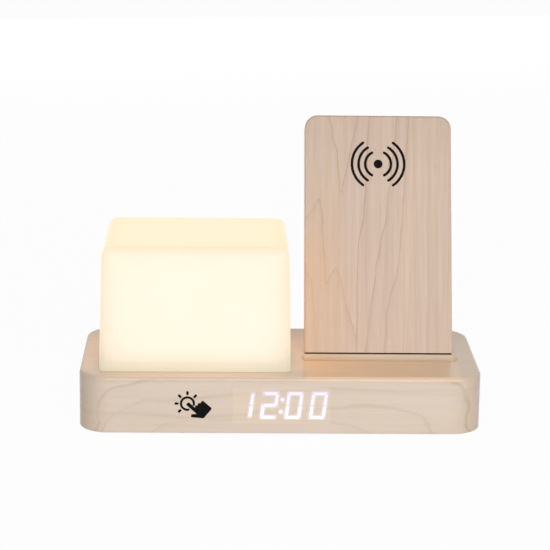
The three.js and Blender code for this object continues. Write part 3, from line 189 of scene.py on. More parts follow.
# Colours, as linear red, green and blue
PANEL_PINK = (0.498, 0.373, 0.306)
PANEL_YELLOW = (0.538, 0.400, 0.290)
# Painted warm light of the lamp on the panel's lower left
PANEL_LAMP_GLOW = (0.505, 0.335, 0.195)
# Painted highlight on the panel's rims
PANEL_EDGE_HIGHLIGHT = (0.680, 0.520, 0.400)
# Painted light of the lamp on the panel's left side
PANEL_SIDE_LIGHT = (0.850, 0.780, 0.700)
BASE_PINK = (0.632, 0.533, 0.452)
BASE_YELLOW = (0.660, 0.560, 0.452)
# Painted warm lamp light on the base's top, and painted shade on its top fillet
TOP_WARM_LIGHT = (1.10, 1.03, 0.92)
FILLET_SHADE = (0.945, 0.88, 0.82)
# Painted shade towards the back of the base's top
BACK_SHADE = (0.90, 0.91, 0.91)
# Painted reflection of the panel on the base's top before its foot
PANEL_REFLECTION_TINT = (1.19, 1.11, 1.02)
# Painted shade on the base's top between the lamp and the panel
BETWEEN_SHADE = (0.94, 0.92, 0.89)
# Painted light in the groove before the panel, dimmer towards its left end
STRIP_LIGHT = (0.830, 0.660, 0.490)
STRIP_DIM_LIGHT = (0.690, 0.540, 0.375)
# Painted shadow in the gap under the panel, on the panel's underside and the base's top
GAP_SHADOW = (0.085, 0.042, 0.018)
LATE_WOOD = (0.330, 0.190, 0.110)
END_WOOD = (0.535, 0.400, 0.275)
WINDOW_TINT = (0.026, 0.014, 0.0)
SHADE_WHITE = (0.160, 0.170, 0.180)
SHADE_CLOUD = (0.175, 0.175, 0.170)
SHADE_STOPS = [
    (0.0, (0.49, 0.405, 0.26)),
    (0.5, (0.57, 0.48, 0.33)),
    (0.7, (0.68, 0.535, 0.38)),
    (0.85, (0.80, 0.565, 0.425)),
    (1.0, (0.88, 0.585, 0.445)),
]
CROWN_EDGE = (0.58, 0.43, 0.21)
CROWN_MIDDLE = (0.88, 0.55, 0.36)
SHADE_STRENGTH = 1.3
PRINT_BLACK = (0.003, 0.0027, 0.0023)
PRINT_GREY = (0.42, 0.42, 0.43)
DIGIT_WHITE = (1.0, 0.96, 1.0)
DIGIT_VIOLET = (0.90, 0.82, 0.91)
DIGIT_DIMMER = (0.86, 0.80, 0.90)
DIGIT_FACE = ((0.12, 0.11, 0.12), (0.16, 0.15, 0.16))
BLACK = (0, 0, 0)
BOARD_GREEN = (0.018, 0.11, 0.045)
BOARD_TRACK = (0.030, 0.17, 0.070)
BOARD_TIN = (0.62, 0.60, 0.54)
WIRE_TOP = (0.52, 0.24, 0.10)
# Painted shade in the grooves between the coil's turns
WIRE_GROOVE_SHADE = (0.16, 0.06, 0.02)
CARD_GREY = (0.88, 0.88, 0.88)

# The shade's light on the wood: colour and level, then each side's axis and direction
ORANGE_GLOW = ((1.0, 0.36, 0.0), 0.36)
PALE_GLOW = ((1.0, 0.86, 0.80), 0.43)
PANEL_GLOW = ((1.0, 0.44, 0.0), 0.65)
SHADE_SIDES = (
    ("left", 0, -1, *ORANGE_GLOW),
    ("right", 0, 1, *ORANGE_GLOW),
    ("front", 1, -1, *PALE_GLOW),
    ("back", 1, 1, *PALE_GLOW),
)
GLOW_GAP = 0.6 * MM
GLOW_SHARE = 0.94

# How much the shade dims at its edges, foot and lower corners, and how cloudy it is
EDGE_DIM = 0.50
FOOT_DIM = 0.9
CORNER_DIM = 0.16
CLOUD_DIM = 0.12
CROWN_DEPTHS = (1.8, 0.2)

# Moulded plastics: colour, roughness, and the texture's waves to the millimetre and depth
PLASTICS = {
    "white_plastic": ((0.80, 0.79, 0.77), 0.5, 2.5, 0.25),
    "black_plastic": ((0.012, 0.012, 0.013), 0.55, 2.5, 0.25),
    "button_plastic": ((0.020, 0.020, 0.022), 0.32, 4.0, 0.1),
    "module_plastic": ((0.05, 0.05, 0.055), 0.45, 2.5, 0.25),
    "chip_plastic": ((0.015, 0.015, 0.015), 0.5, 3.5, 0.2),
    "light_chip": ((0.85, 0.62, 0.16), 0.25, 6.0, 0.05),
    "ferrite": ((0.030, 0.028, 0.028), 0.7, 1.5, 0.3),
    "lead_sleeve": ((0.018, 0.018, 0.018), 0.6, 2.0, 0.15),
    "foot_rubber": ((0.022, 0.022, 0.022), 0.85, 1.8, 0.4),
}

# Metals: colour, roughness, and the drawn lines' waves to the millimetre along each axis
METALS = {
    "board_aluminium": ((0.75, 0.76, 0.78), 0.38, (0.06, 2.2, 2.2)),
    "screw_steel": ((0.52, 0.53, 0.55), 0.30, (2.5, 2.5, 0.4)),
    "plated_steel": ((0.66, 0.67, 0.68), 0.24, (0.3, 1.8, 1.8)),
    "inlet_steel": ((0.68, 0.68, 0.69), 0.22, (2.2, 0.08, 2.2)),
}
WIRE_PITCH = 0.55

# How deep textures are
FINE_DEPTH = 0.03 * MM
METAL_DEPTH = 0.02 * MM
WIRE_DEPTH = 0.15 * MM

# Maple: its coat, its noise's waves to the millimetre across and along the grain, how dark its late
# wood, fibres, streaks and flecks are, and how wide a line is dark and by where it has faded out
LACQUER = 0.5
COAT = {"Coat_Weight": LACQUER, "Coat_Roughness": 0.10, "Coat_IOR": 1.45, "Specular_IOR_Level": 0.2}
BAND_WAVES = (0.10, 0.006)
STREAK_WAVES = (0.42, 0.010)
FIBRE_WAVES = (2.4, 0.035)
FLECK_WAVES = (1.5, 0.16)
FADING_WAVES = (0.060, 0.018)
BAND_CONTRAST = 1.8
FADED_SHARE = 0.4
LEAD_SHARE = 0.3
MAPLE_ROUGHNESS = 0.38
FIBRE_ROUGHNESS = 0.12
BASE_CONTRAST = (0.26, 0.06, 0.06, 0.05)
BASE_LINE = (0.2, 1.3)
PANEL_CONTRAST = (0.56, 0.20, 0.20, 0.30)
PANEL_LINE = (0.08, 0.55)

# How the lines sway: the sway's waves to the millimetre, and how far sideways and up it goes
BASE_SWAY_WAVES = (0.03, 0.03, 0.08)
BASE_SWAY = (10, 6)
PANEL_SWAY_WAVES = (0.10, 0.05, 0.04)
PANEL_SWAY = (2.5, 6)
RIPPLE_WAVES = (0.5, 0.05, 0.13)
RIPPLE = 1.2
RING_SWAY = 2

# Painted places on the base: between which heights, depths or reaches sideways a paint sets in, and
# how strong it is where it doesn't cover
FRONT_HEIGHTS = (31.0, 29.0)
# Where the painted shade on the top fillet and the painted warm light on the top set in
FILLET_HEIGHTS = (27.5, 30.5)
TOP_HEIGHTS = (30.9, 31.45)
# Where the painted shade towards the back of the top sets in
BACK_SHADE_DEPTHS = (5, 40)
END_REACH = (86, 104)
END_SHARE = 0.5
RING_REACH = (101, 104.5)
RING_DEPTH = 12
RING_DROP = 70
RING_SPACING = 3.4
RING_SHARE = 0.16
# Where the painted shade between the lamp and the panel sets in
BETWEEN_DEPTHS = (-30, -22)
BETWEEN_REACH = (9, 1)
BETWEEN_SOFT = 2
WINDOW_SOFT = 0.7
WINDOW_DEPTHS = (2, 1)
WINDOW_SHARE = 0.3

# Painted places at the panel's foot: a painted reflection of the panel before it, painted light in
# the groove's strip, and a painted shadow in the gap below it. Each has how far in from the panel's
# sides and how softly it starts, and depths below the base's top between which it sets in, then how
# far it reaches before or behind the foot
REFLECTION_PLACE = (2, 5, (2.5, 0.5))
REFLECTION_DEPTH = 4
STRIP_PLACE = (-2.5, 1.2, (0.02, 0.25), (4, 3))
STRIP_DEPTH = 14.5
STRIP_SOFT = 0.2
GAP_PLACE = (0.4, 0.3, (0.5, 0.1))
GAP_DEPTH = 9
GAP_SOFT = 0.3

# Painted light and shade on the panel, with how strong they are
# Painted shade: the panel darker towards its top and towards its right side
TOP_SHADE_HEIGHTS = (85, 140)
RIGHT_SHADE_REACH = (25, 38)
TOP_SHADE_SHARE = 0.16
RIGHT_SHADE_SHARE = 0.06
# Painted warm lamp light on the panel's lower left
LAMP_GLOW_HEIGHTS = (120, 50)
LAMP_GLOW_REACH = (-8, -38)
LAMP_GLOW_SHARE = 0.55
# Painted highlight along the panel's rims, and how strong it and the side's painted light are
HIGHLIGHT_RIM_REACH = (38.7, 39.6)
EDGE_LIGHT_SHARE = 0.7
# Painted lamp light on the panel's left side
SIDE_LIGHT_HEIGHTS = (110, 30)
SIDE_LIGHT_REACH = (-39.2, -39.8)
# Painted shadow on the panel's underside and lowest edge
UNDER_SHADOW_HEIGHTS = (0.3, 0.05)

# Where the digits' light is dimmer, above their middle
UPPER_HEIGHTS = (-1.5, 4.5)

# Stage, with the place, size and power of each light
LIGHT_TARGET = (0, 0, 0.06)
LIGHTS = {
    "front_light": ((0.25, -1.6, 0.65), (1.5, 1.0), 22.5),
    "back_light": ((-0.2, 1.6, 0.12), (1.5, 0.2), 12),
}
WORLD_LEVEL = 0.38
FLOOR_SIZE = 12
FLOOR_WHITE = 0.96
CLIP_END = 20

# Late wood lines on a face, as points across it and up it in millimetres, with how dark each one is
PANEL_FIGURE = (
    (1.0, (
        (-41, 72), (-37, 75.5), (-34, 80.5), (-32.4, 83), (-31.2, 79), (-29.8, 66), (-28.7, 43),
        (-28.2, 38), (-27, 40), (-23.6, 44.5), (-22.8, 45), (-21.8, 43), (-18, 29), (-13.3, 12),
        (-12.6, 9), (-12, 14), (-10.9, 57), (-7, 86), (-3, 160),
    )),
    (0.8, (
        (-29, 160), (-26.4, 129), (-22, 105), (-20.8, 90.5), (-20.1, 88), (-19.2, 91), (-15.4, 108),
        (-12.1, 123), (-11, 130), (-6, 160),
    )),
    (0.6, ((-42, 48), (-37.8, 41), (-35, 27), (-32, -30))),
    (0.9, ((-12, -30), (-7, 1), (-1.7, 41), (1.3, 60), (5.7, 87), (14, 160))),
    (0.7, ((0, -30), (4.4, 15), (6.5, 31), (11, 49), (13.8, 86), (19, 160))),
    (0.3, ((-36, -30), (-33, 12), (-30, 21), (-24, -30))),
    (0.3, ((13, -30), (17, 40), (20, 160))),
    (0.3, ((25, -30), (27, 70), (30, 160))),
    (0.2, ((30, -30), (32, 50), (35, 160))),
    (0.3, ((36, -30), (38, 60), (41, 160))),
)
BASE_FIGURE = (
    (1.3, ((70, 34), (88, 30), (94.8, 25.7), (98, 12.8), (99.5, -8))),
    (0.8, ((-99, -8), (-96.4, 6), (-95.6, 15.4), (-91, 23.2), (-75.8, 28), (-50, 34))),
    (0.5, ((-30, 11), (30.8, 15.4), (50.7, 16.3), (64.2, 14.7), (78, 6), (84, -8))),
    (0.5, ((-98, -8), (-92.7, 6), (-73, 17.9), (-56, 19.5), (10, 25))),
    (0.3, ((-80, -8), (-60, 6), (-20, 8.5), (40, 6), (60, -8))),
)
PROBE = 0.4
LEAD_WIDTH = 4.5


# Selection and finishing


def mode(kind):
    bpy.ops.object.mode_set(mode=kind)


def only(piece):
    """Leaves one piece selected and active, in object mode."""
    if bpy.context.object and bpy.context.object.mode != "OBJECT":
        mode("OBJECT")
    bpy.ops.object.select_all(action="DESELECT")
    bpy.context.view_layer.objects.active = piece
    if piece:
        piece.select_set(True)
    return piece


def named(name):
    """Names the primitive that was just added."""
    piece = bpy.context.object
    piece.name = name
    piece.data.name = name
    return piece


def settle(piece, place=(0, 0, 0), turn=(0, 0, 0)):
    """Puts a finished piece in its place, and leaves that place in its mesh."""
    only(piece)
    piece.location = place
    piece.rotation_euler = turn
    bpy.ops.object.transform_apply(location=True, rotation=True, scale=True)
    return piece


def edit(piece, kind, wanted):
    """Opens a piece in edit mode: edges are selected by their ends, or faces by their middle."""
    only(piece)
    mode("EDIT")
    bpy.ops.mesh.select_mode(type=kind)
    bpy.ops.mesh.select_all(action="DESELECT")
    mode("OBJECT")
    mesh = piece.data
    for edge in mesh.edges if kind == "EDGE" else ():
        edge.select = wanted(*(mesh.vertices[index].co for index in edge.vertices))
    for face in mesh.polygons if kind == "FACE" else ():
        face.select = wanted(face.center)
    mode("EDIT")


def round_edges(piece, wanted, radius, steps):
    edit(piece, "EDGE", wanted)
    bpy.ops.mesh.bevel(offset=radius, segments=steps, profile=0.5, affect="EDGES")
    mode("OBJECT")


def extrude(*step):
    bpy.ops.mesh.extrude_region_move(TRANSFORM_OT_translate={"value": step})


def along(axis):
    """A test for edges that run along one axis."""
    others = [index for index in range(3) if index != axis]
    return lambda *ends: all(abs(ends[0][index] - ends[1][index]) < TINY for index in others)


def level(axis, place):
    """A test for edges and faces that lie in one plane across an axis."""
    return lambda *ends: all(abs(end[axis] - place) < TINY for end in ends)


def apply(piece, kind, **settings):
    """Adds a modifier with its settings and applies it."""
    only(piece)
    modifier = piece.modifiers.new(kind, kind)
    for setting, value in settings.items():
        setattr(modifier, setting, value)
    bpy.ops.object.modifier_apply(modifier=modifier.name)


def cut(piece, *cutters):
    for cutter in cutters:
        apply(piece, "BOOLEAN", operation="DIFFERENCE", solver="EXACT", object=cutter)
        bpy.data.objects.remove(cutter)


def fuse(piece, *others):
    """Joins separate meshes into one object."""
    only(piece)
    for other in others:
        other.select_set(True)
    bpy.ops.object.join()
    return piece


def smooth(piece):
    """Smooth shading in which the flat faces stay flat."""
    only(piece)
    bpy.ops.object.shade_smooth_by_angle(angle=SMOOTH_ANGLE)
    apply(piece, "WEIGHTED_NORMAL", keep_sharp=True)


def hand_over(piece, slot, material, *nodes, body="base"):
    """Gives a piece its material and its body, and hides the nodes that it stands for. The slot is
    not used.
    """
    piece.data.materials.clear()
    piece.data.materials.append(material)
    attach(piece, body)
    if nodes:
        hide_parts(*nodes)


# Places and starting shapes


def middle_of(name):
    """The middle of a node's box."""
    low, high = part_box(name)
    return (low + high) / 2


def add_block(name, low, high):
    only(None)
    low = Vector(low)
    high = Vector(high)
    bpy.ops.mesh.primitive_cube_add(size=1)
    piece = named(name)
    piece.scale = high - low
    return settle(piece, (low + high) / 2)


def soft_block(name, low, high, axis, radius, steps=CORNER_STEPS):
    """A block with round corners, seen along one axis."""
    piece = add_block(name, low, high)
    round_edges(piece, along(axis), radius, steps)
    return piece


def add_post(name, centre, radius, height, axis=2, sides=ROUND_SIDES):
    """A cylinder about an axis, centred on a point."""
    turns = {0: (0, math.pi / 2, 0), 1: (math.pi / 2, 0, 0), 2: (0, 0, 0)}
    only(None)
    bpy.ops.mesh.primitive_cylinder_add(vertices=sides, radius=radius, depth=height)
    return settle(named(name), centre, turns[axis])


def grown(low, high, margin):
    """A box that is larger all round by a margin, given for each axis."""
    margin = Vector(margin)
    return Vector(low) - margin, Vector(high) + margin


# Flat marks, drawn as closed outlines


def rounded(corners, steps=OUTLINE_STEPS):
    """A closed outline from corners, each with its own radius."""
    outline = []
    count = len(corners)
    for order, (x, y, radius) in enumerate(corners):
        here = Vector((x, y))
        before = Vector(corners[order - 1][:2]) - here
        after = Vector(corners[(order + 1) % count][:2]) - here
        half = before.angle(after) / 2
        back = min(radius / math.tan(half), before.length / 2, after.length / 2)
        start = here + before.normalized() * back
        end = here + after.normalized() * back
        for step in range(steps + 1):
            share = step / steps
            first = start.lerp(here, share)
            second = here.lerp(end, share)
            outline.append(first.lerp(second, share))
    return outline


def spoke(turn, length):
    return Vector((math.cos(turn), math.sin(turn))) * length


def arc(start, end, radius, steps):
    return [spoke(start + (end - start) * step / steps, radius) for step in range(steps + 1)]


def disc_outline(x, y, radius):
    return [Vector((x, y)) + point for point in arc(0, 2 * math.pi, radius, DISC_STEPS)[:-1]]


def arc_outline(radius, stroke, start, end):
    """A stroke along an arc round the origin, with round ends."""
    half = stroke / 2
    outline = []
    for first, last, side in ((start, end, 1), (end, start, -1)):
        outline += arc(first, last, radius + half * side, ARC_STEPS)
        turn = last if side == 1 else last + math.pi
        cap = arc(turn, turn + math.pi, half, CAP_STEPS)
        outline += [spoke(last, radius) + point for point in cap[1:-1]]
    return outline


def bar_outline(x, y, angle, length, width, radius):
    """A bar with round corners, centred on a point and turned by an angle."""
    corners = []
    for side_x, side_y in ((-1, -1), (1, -1), (1, 1), (-1, 1)):
        corner = Vector((side_x * length / 2, side_y * width / 2))
        corner.rotate(Matrix.Rotation(angle, 2))
        corners.append((x + corner.x, y + corner.y, radius))
    return rounded(corners)


def print_mark(name, outlines, place, slot, material, proud=PRINT_RAISE, lean=0, turned=False):
    """Fills outlines to a thin plate, standing on a face that leans back, or on a rear face."""
    drawing = bpy.data.curves.new(name, "CURVE")
    drawing.dimensions = "2D"
    drawing.fill_mode = "BOTH"
    drawing.extrude = (proud + PRINT_SINK) / 2
    for outline in outlines:
        spline = drawing.splines.new("POLY")
        spline.points.add(len(outline) - 1)
        for point, (x, y) in zip(spline.points, outline):
            point.co = (x, y, 0, 1)
        spline.use_cyclic_u = True
    mark = bpy.data.objects.new(name, drawing)
    bpy.context.collection.objects.link(mark)
    only(mark)
    bpy.ops.object.convert(target="MESH")
    mark = bpy.context.object
    mode("EDIT")
    bpy.ops.mesh.select_all(action="SELECT")
    bpy.ops.mesh.remove_doubles(threshold=TINY / 10)
    bpy.ops.mesh.normals_make_consistent(inside=False)
    mode("OBJECT")
    turn = Euler((math.pi / 2 - lean, 0, math.pi if turned else 0))
    normal = turn.to_matrix() @ Vector((0, 0, 1))
    settle(mark, Vector(place) + normal * (proud - PRINT_SINK) / 2, turn)
    hand_over(mark, slot, material)


# Materials


def maths(operation, backwards=False):
    """A sum of one or two shader numbers, as a node."""

    def result(self, other=0.0):
        values = (other, self) if backwards else (self, other)
        sockets = dict(enumerate(values))
        return self.paint.node("ShaderNodeMath", {"operation": operation}, sockets)

    return result


class Signal:
    """A number in a material, for sums in Python."""

    __add__ = __radd__ = maths("ADD")
    __mul__ = __rmul__ = maths("MULTIPLY")
    __sub__ = maths("SUBTRACT")
    __rsub__ = maths("SUBTRACT", True)
    __truediv__ = maths("DIVIDE")
    __pow__ = maths("POWER")
    __abs__ = maths("ABSOLUTE")
    fraction = maths("FRACT")
    highest = maths("MAXIMUM")
    lowest = maths("MINIMUM")

    def __init__(self, paint, socket):
        self.paint = paint
        self.socket = socket

    def step(self, low, high):
        """Rises smoothly from 0 at low to 1 at high, or falls where low is above high."""
        settings = {"interpolation_type": "SMOOTHSTEP"}
        sockets = {"Value": self, "From Min": min(low, high), "From Max": max(low, high)}
        sockets.update({"To Min": float(low > high), "To Max": float(low < high)})
        return self.paint.node("ShaderNodeMapRange", settings, sockets)


class Paint:
    """One material, or the world, with its shader."""

    def __init__(self, name, kind="materials", shader="Principled BSDF", **sockets):
        self.material = getattr(bpy.data, kind).new(name)
        self.material.use_nodes = True
        self.tree = self.material.node_tree
        self.shader = self.tree.nodes[shader]
        for socket, value in sockets.items():
            self.feed(self.shader.inputs[socket.replace("_", " ")], value)

    def feed(self, socket, value):
        if isinstance(value, Signal):
            self.tree.links.new(value.socket, socket)
        elif socket.type == "RGBA":
            socket.default_value = (*value, 1)
        else:
            socket.default_value = value

    def node(self, kind, settings, sockets, output=0):
        """Adds a node, sets it, feeds its sockets and gives one of its outputs."""
        made = self.tree.nodes.new(kind)
        for setting, value in settings.items():
            setattr(made, setting, value)
        for socket, value in sockets.items():
            self.feed(made.inputs[socket], value)
        return Signal(self, made.outputs[output])

    def place(self, centre=(0, 0, 0), lean=0):
        """Object coordinates in millimetres, measured from a centre, and leant back."""
        here = self.node("ShaderNodeTexCoord", {}, {}, "Object")
        shifted = self.vector("SUBTRACT", here, centre)
        sockets = {"Vector": shifted, "Rotation": (lean, 0, 0), "Scale": (1 / MM,) * 3}
        return self.node("ShaderNodeMapping", {}, sockets)

    def vector(self, operation, place, other):
        sockets = {0: place, 1: tuple(other)}
        return self.node("ShaderNodeVectorMath", {"operation": operation}, sockets)

    def ramp(self, value, stops, curve="LINEAR"):
        """Colours that lie at places from 0 to 1, and what joins them."""
        result = self.node("ShaderNodeValToRGB", {}, {0: value})
        ramp = result.socket.node.color_ramp
        ramp.interpolation = curve
        for element, (place, colour) in zip(ramp.elements, (stops[0], stops[-1])):
            element.position = place
            element.color = (*colour, 1)
        for place, colour in stops[1:-1]:
            ramp.elements.new(place).color = (*colour, 1)
        return result

    def outline(self, value, points):
        """A number read off an outline of given points, joined by a smooth curve."""
        first = points[0][0]
        span = points[-1][0] - first
        lowest = min(height for place, height in points)
        rise = max(height for place, height in points) - lowest
        stops = []
        for place, height in points:
            stops.append(((place - first) / span, ((height - lowest) / rise,) * 3))
        return self.ramp((value - first) / span, stops, "CARDINAL") * rise + lowest

    def axes(self, place):
        split = self.node("ShaderNodeSeparateXYZ", {}, {"Vector": place})
        outputs = split.socket.node.outputs
        return [Signal(self, outputs[index]) for index in range(3)]

    def noise(self, place, stretch, detail=2.0, roughness=0.5):
        """Smooth noise about 0.5, with its waves to the millimetre given for each axis."""
        stretched = self.vector("MULTIPLY", place, stretch)
        sockets = {"Vector": stretched, "Scale": 1.0, "Detail": detail, "Roughness": roughness}
        return self.node("ShaderNodeTexNoise", {}, sockets)

    def mix(self, first, second, factor, blend="MIX"):
        settings = {"data_type": "RGBA", "blend_type": blend}
        return self.node("ShaderNodeMix", settings, {0: factor, 6: first, 7: second}, 2)

    def layers(self, colour, *rows):
        """Lays tints over a colour, each where it shows, and with how it blends."""
        for tint, where, *blend in rows:
            colour = self.mix(colour, tint, where, *blend)
        return colour

    def bump(self, height, strength, distance):
        sockets = {"Strength": strength, "Distance": distance, "Height": height}
        self.set("Normal", self.node("ShaderNodeBump", {}, sockets))

    def set(self, socket, value):
        self.feed(self.shader.inputs[socket], value)

    def seen(self, *kinds):
        """1 for rays of the named kinds, such as the camera's, and 0 for the others."""
        rays = [self.node("ShaderNodeLightPath", {}, {}, f"Is {kind} Ray") for kind in kinds]
        return sum(rays[1:], rays[0])


def late_wood(paint, across, up, figure, thin, wide):
    """Dark lines along a figure's points, and the softer wood that leads up to each on one side."""
    line = across * 0
    lead = across * 0
    for darkness, points in figure:
        here = paint.outline(across, points)
        slope = (paint.outline(across + PROBE, points) - here) / PROBE
        away = (here - up) / (slope * slope + 1) ** 0.5
        line = line.highest(abs(away).step(wide, thin) * darkness)
        lead = lead.highest(away.step(LEAD_WIDTH, 0) * away.step(-wide, 0) * darkness)
    return line, lead


def grain(paint, place, axis, lines, colours, contrast):
    """Late wood lines, colour bands, fibres and pores along one axis. Gives the wood's colour."""

    def waves(of_wood, *settings):
        across, lengthwise = of_wood
        stretch = [lengthwise if index == axis else across for index in range(3)]
        return paint.noise(place, stretch, *settings)

    line, lead = lines
    for_line, for_fibres, for_streaks, for_flecks = contrast
    bands = waves(BAND_WAVES, 3.0)
    streaks = waves(STREAK_WAVES, 2.5).step(0.30, 0.70)
    fibres = waves(FIBRE_WAVES, 2.0, 0.6).step(0.30, 0.72)
    flecks = waves(FLECK_WAVES, 1.0).step(0.70, 0.80)
    fading = waves(FADING_WAVES, 1.0).step(0.30, 0.55) * (1 - FADED_SHARE) + FADED_SHARE
    colour = paint.layers(
        colours[0],
        (colours[1], (bands - 0.5) * BAND_CONTRAST + 0.5),
        (LATE_WOOD, (line * fading + lead * LEAD_SHARE) * for_line),
        (LATE_WOOD, fibres * for_fibres + streaks * for_streaks + flecks * for_flecks),
    )
    paint.set("Roughness", fibres * FIBRE_ROUGHNESS + MAPLE_ROUGHNESS)
    paint.bump(fibres * -0.5 - flecks * 0.5 - line * 0.3, 0.10, FINE_DEPTH)
    return colour


def inside(value, low, high, soft):
    """1 between two places and 0 outside them, with soft ends."""
    return value.step(low - soft, low) * value.step(high + soft, high)


def base_maple():
    """Grain that runs along the base, in flat arches on its front, with rings on its two ends."""
    paint = Paint("maple_base", **COAT)
    place = paint.place()
    x, y, z = paint.axes(place)
    sway = paint.noise(place, BASE_SWAY_WAVES) - 0.5
    upright = z.step(*FRONT_HEIGHTS)
    on_top = z.step(*TOP_HEIGHTS)
    across = x + sway * BASE_SWAY[0]
    line, lead = late_wood(paint, across, z + sway * BASE_SWAY[1], BASE_FIGURE, *BASE_LINE)
    lines = (line * upright, lead * upright)
    colour = grain(paint, place, 0, lines, (BASE_PINK, BASE_YELLOW), BASE_CONTRAST)
    radius = ((y - RING_DEPTH) ** 2 + (z + RING_DROP) ** 2) ** 0.5
    rings = abs((radius / RING_SPACING + sway * RING_SWAY).fraction() - 0.5).step(0.5, 0.1)
    rings = rings * abs(x).step(*RING_REACH) * upright

    foot = panel_foot() / MM
    panel_low, panel_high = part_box("charger_front_panel")
    half = (panel_high.x - panel_low.x) / MM / 2
    left = foot.x - half
    right = foot.x + half
    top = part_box("base_housing")[1].z / MM

    def place_at(inset, soft, *depths):
        result = inside(x, left + inset, right - inset, soft)
        for start, full in depths:
            result = result * z.step(top - start, top - full)
        return result

    # Painted reflection of the panel before its foot
    before = place_at(*REFLECTION_PLACE) * y.step(foot.y, foot.y - REFLECTION_DEPTH)
    # Painted shade between the lamp and the panel
    between = inside(x, left - BETWEEN_REACH[0], left - BETWEEN_REACH[1], BETWEEN_SOFT)
    between = between * y.step(*BETWEEN_DEPTHS) * on_top
    # Painted light in the groove's strip before the panel
    strip = inside(y, foot.y - STRIP_DEPTH, foot.y + STRIP_SOFT, STRIP_SOFT)
    strip = strip * place_at(*STRIP_PLACE)
    # Painted shadow in the gap under the panel's foot
    gap = place_at(*GAP_PLACE) * inside(y, foot.y, foot.y + GAP_DEPTH, GAP_SOFT)
    colour = paint.layers(
        colour,
        # Painted shade on the top fillet and painted warm lamp light on the top
        (paint.mix(FILLET_SHADE, TOP_WARM_LIGHT, on_top), z.step(*FILLET_HEIGHTS), "MULTIPLY"),
        # Painted shade towards the back of the base's top
        (BACK_SHADE, y.step(*BACK_SHADE_DEPTHS) * on_top, "MULTIPLY"),
        (END_WOOD, abs(x).step(*END_REACH) * upright * END_SHARE),
        (LATE_WOOD, rings * RING_SHARE),
        # Painted reflection of the panel before its foot
        (PANEL_REFLECTION_TINT, before, "MULTIPLY"),
        # Painted shade between the lamp and the panel
        (BETWEEN_SHADE, between, "MULTIPLY"),
        # Painted light in the groove, dimmer towards its left end
        (paint.mix(STRIP_DIM_LIGHT, STRIP_LIGHT, x.step(left, foot.x)), strip),
        # Painted shadow in the gap under the panel
        (GAP_SHADOW, gap),
    )
    # No coat in the painted shadow, so the gap shows no reflection
    paint.set("Coat Weight", LACQUER - gap * LACQUER)

    module_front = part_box("display_module")[0].y / MM
    centre = middle_of("display_module") / MM
    half_width = WINDOW_WIDTH / MM / 2
    half_height = WINDOW_HEIGHT / MM / 2
    window = inside(x, centre.x - half_width, centre.x + half_width, WINDOW_SOFT)
    window = window * inside(z, centre.z - half_height, centre.z + half_height, WINDOW_SOFT)
    window = window * y.step(*(module_front + depth for depth in WINDOW_DEPTHS))
    paint.set("Emission Color", paint.mix(BLACK, WINDOW_TINT, window))
    paint.set("Emission Strength", 1.0)
    paint.set("Base Color", paint.mix(colour, BASE_YELLOW, window * WINDOW_SHARE))
    return paint.material


def panel_maple():
    """Grain that runs up the panel, in pointed arches and, at its right, slanting lines."""
    paint = Paint("maple_panel", **COAT)
    place = paint.place(panel_foot(), LEAN)
    across, depth, up = paint.axes(place)
    sway = paint.noise(place, PANEL_SWAY_WAVES) - 0.5
    ripple = paint.noise(place, RIPPLE_WAVES) - 0.5
    wavy = across + sway * PANEL_SWAY[0] + ripple * RIPPLE
    lines = late_wood(paint, wavy, up + sway * PANEL_SWAY[1], PANEL_FIGURE, *PANEL_LINE)
    colour = grain(paint, place, 2, lines, (PANEL_PINK, PANEL_YELLOW), PANEL_CONTRAST)
    height = paint.axes(paint.place())[2]
    lowest = panel_foot().z / MM
    # Painted shadow on the panel's underside and lowest edge
    underneath_shadow = height.step(*(lowest + rise for rise in UNDER_SHADOW_HEIGHTS))
    colour = paint.layers(
        colour,
        # Painted shade, in the late wood's colour: darker towards the panel's top and its right
        # side
        (LATE_WOOD, up.step(*TOP_SHADE_HEIGHTS) * TOP_SHADE_SHARE + across.step(*RIGHT_SHADE_REACH) * RIGHT_SHADE_SHARE),
        # Painted warm lamp light on the panel's lower left
        (PANEL_LAMP_GLOW, across.step(*LAMP_GLOW_REACH) * up.step(*LAMP_GLOW_HEIGHTS) * LAMP_GLOW_SHARE),
        # Painted highlight along the panel's rims
        (PANEL_EDGE_HIGHLIGHT, abs(across).step(*HIGHLIGHT_RIM_REACH) * EDGE_LIGHT_SHARE),
        # Painted lamp light on the panel's left side
        (PANEL_SIDE_LIGHT, across.step(*SIDE_LIGHT_REACH) * up.step(*SIDE_LIGHT_HEIGHTS) * EDGE_LIGHT_SHARE),
        (GAP_SHADOW, underneath_shadow),
    )
    paint.set("Base Color", colour)
    # No coat in the painted shadow underneath
    paint.set("Coat Weight", LACQUER - underneath_shadow * LACQUER)
    return paint.material


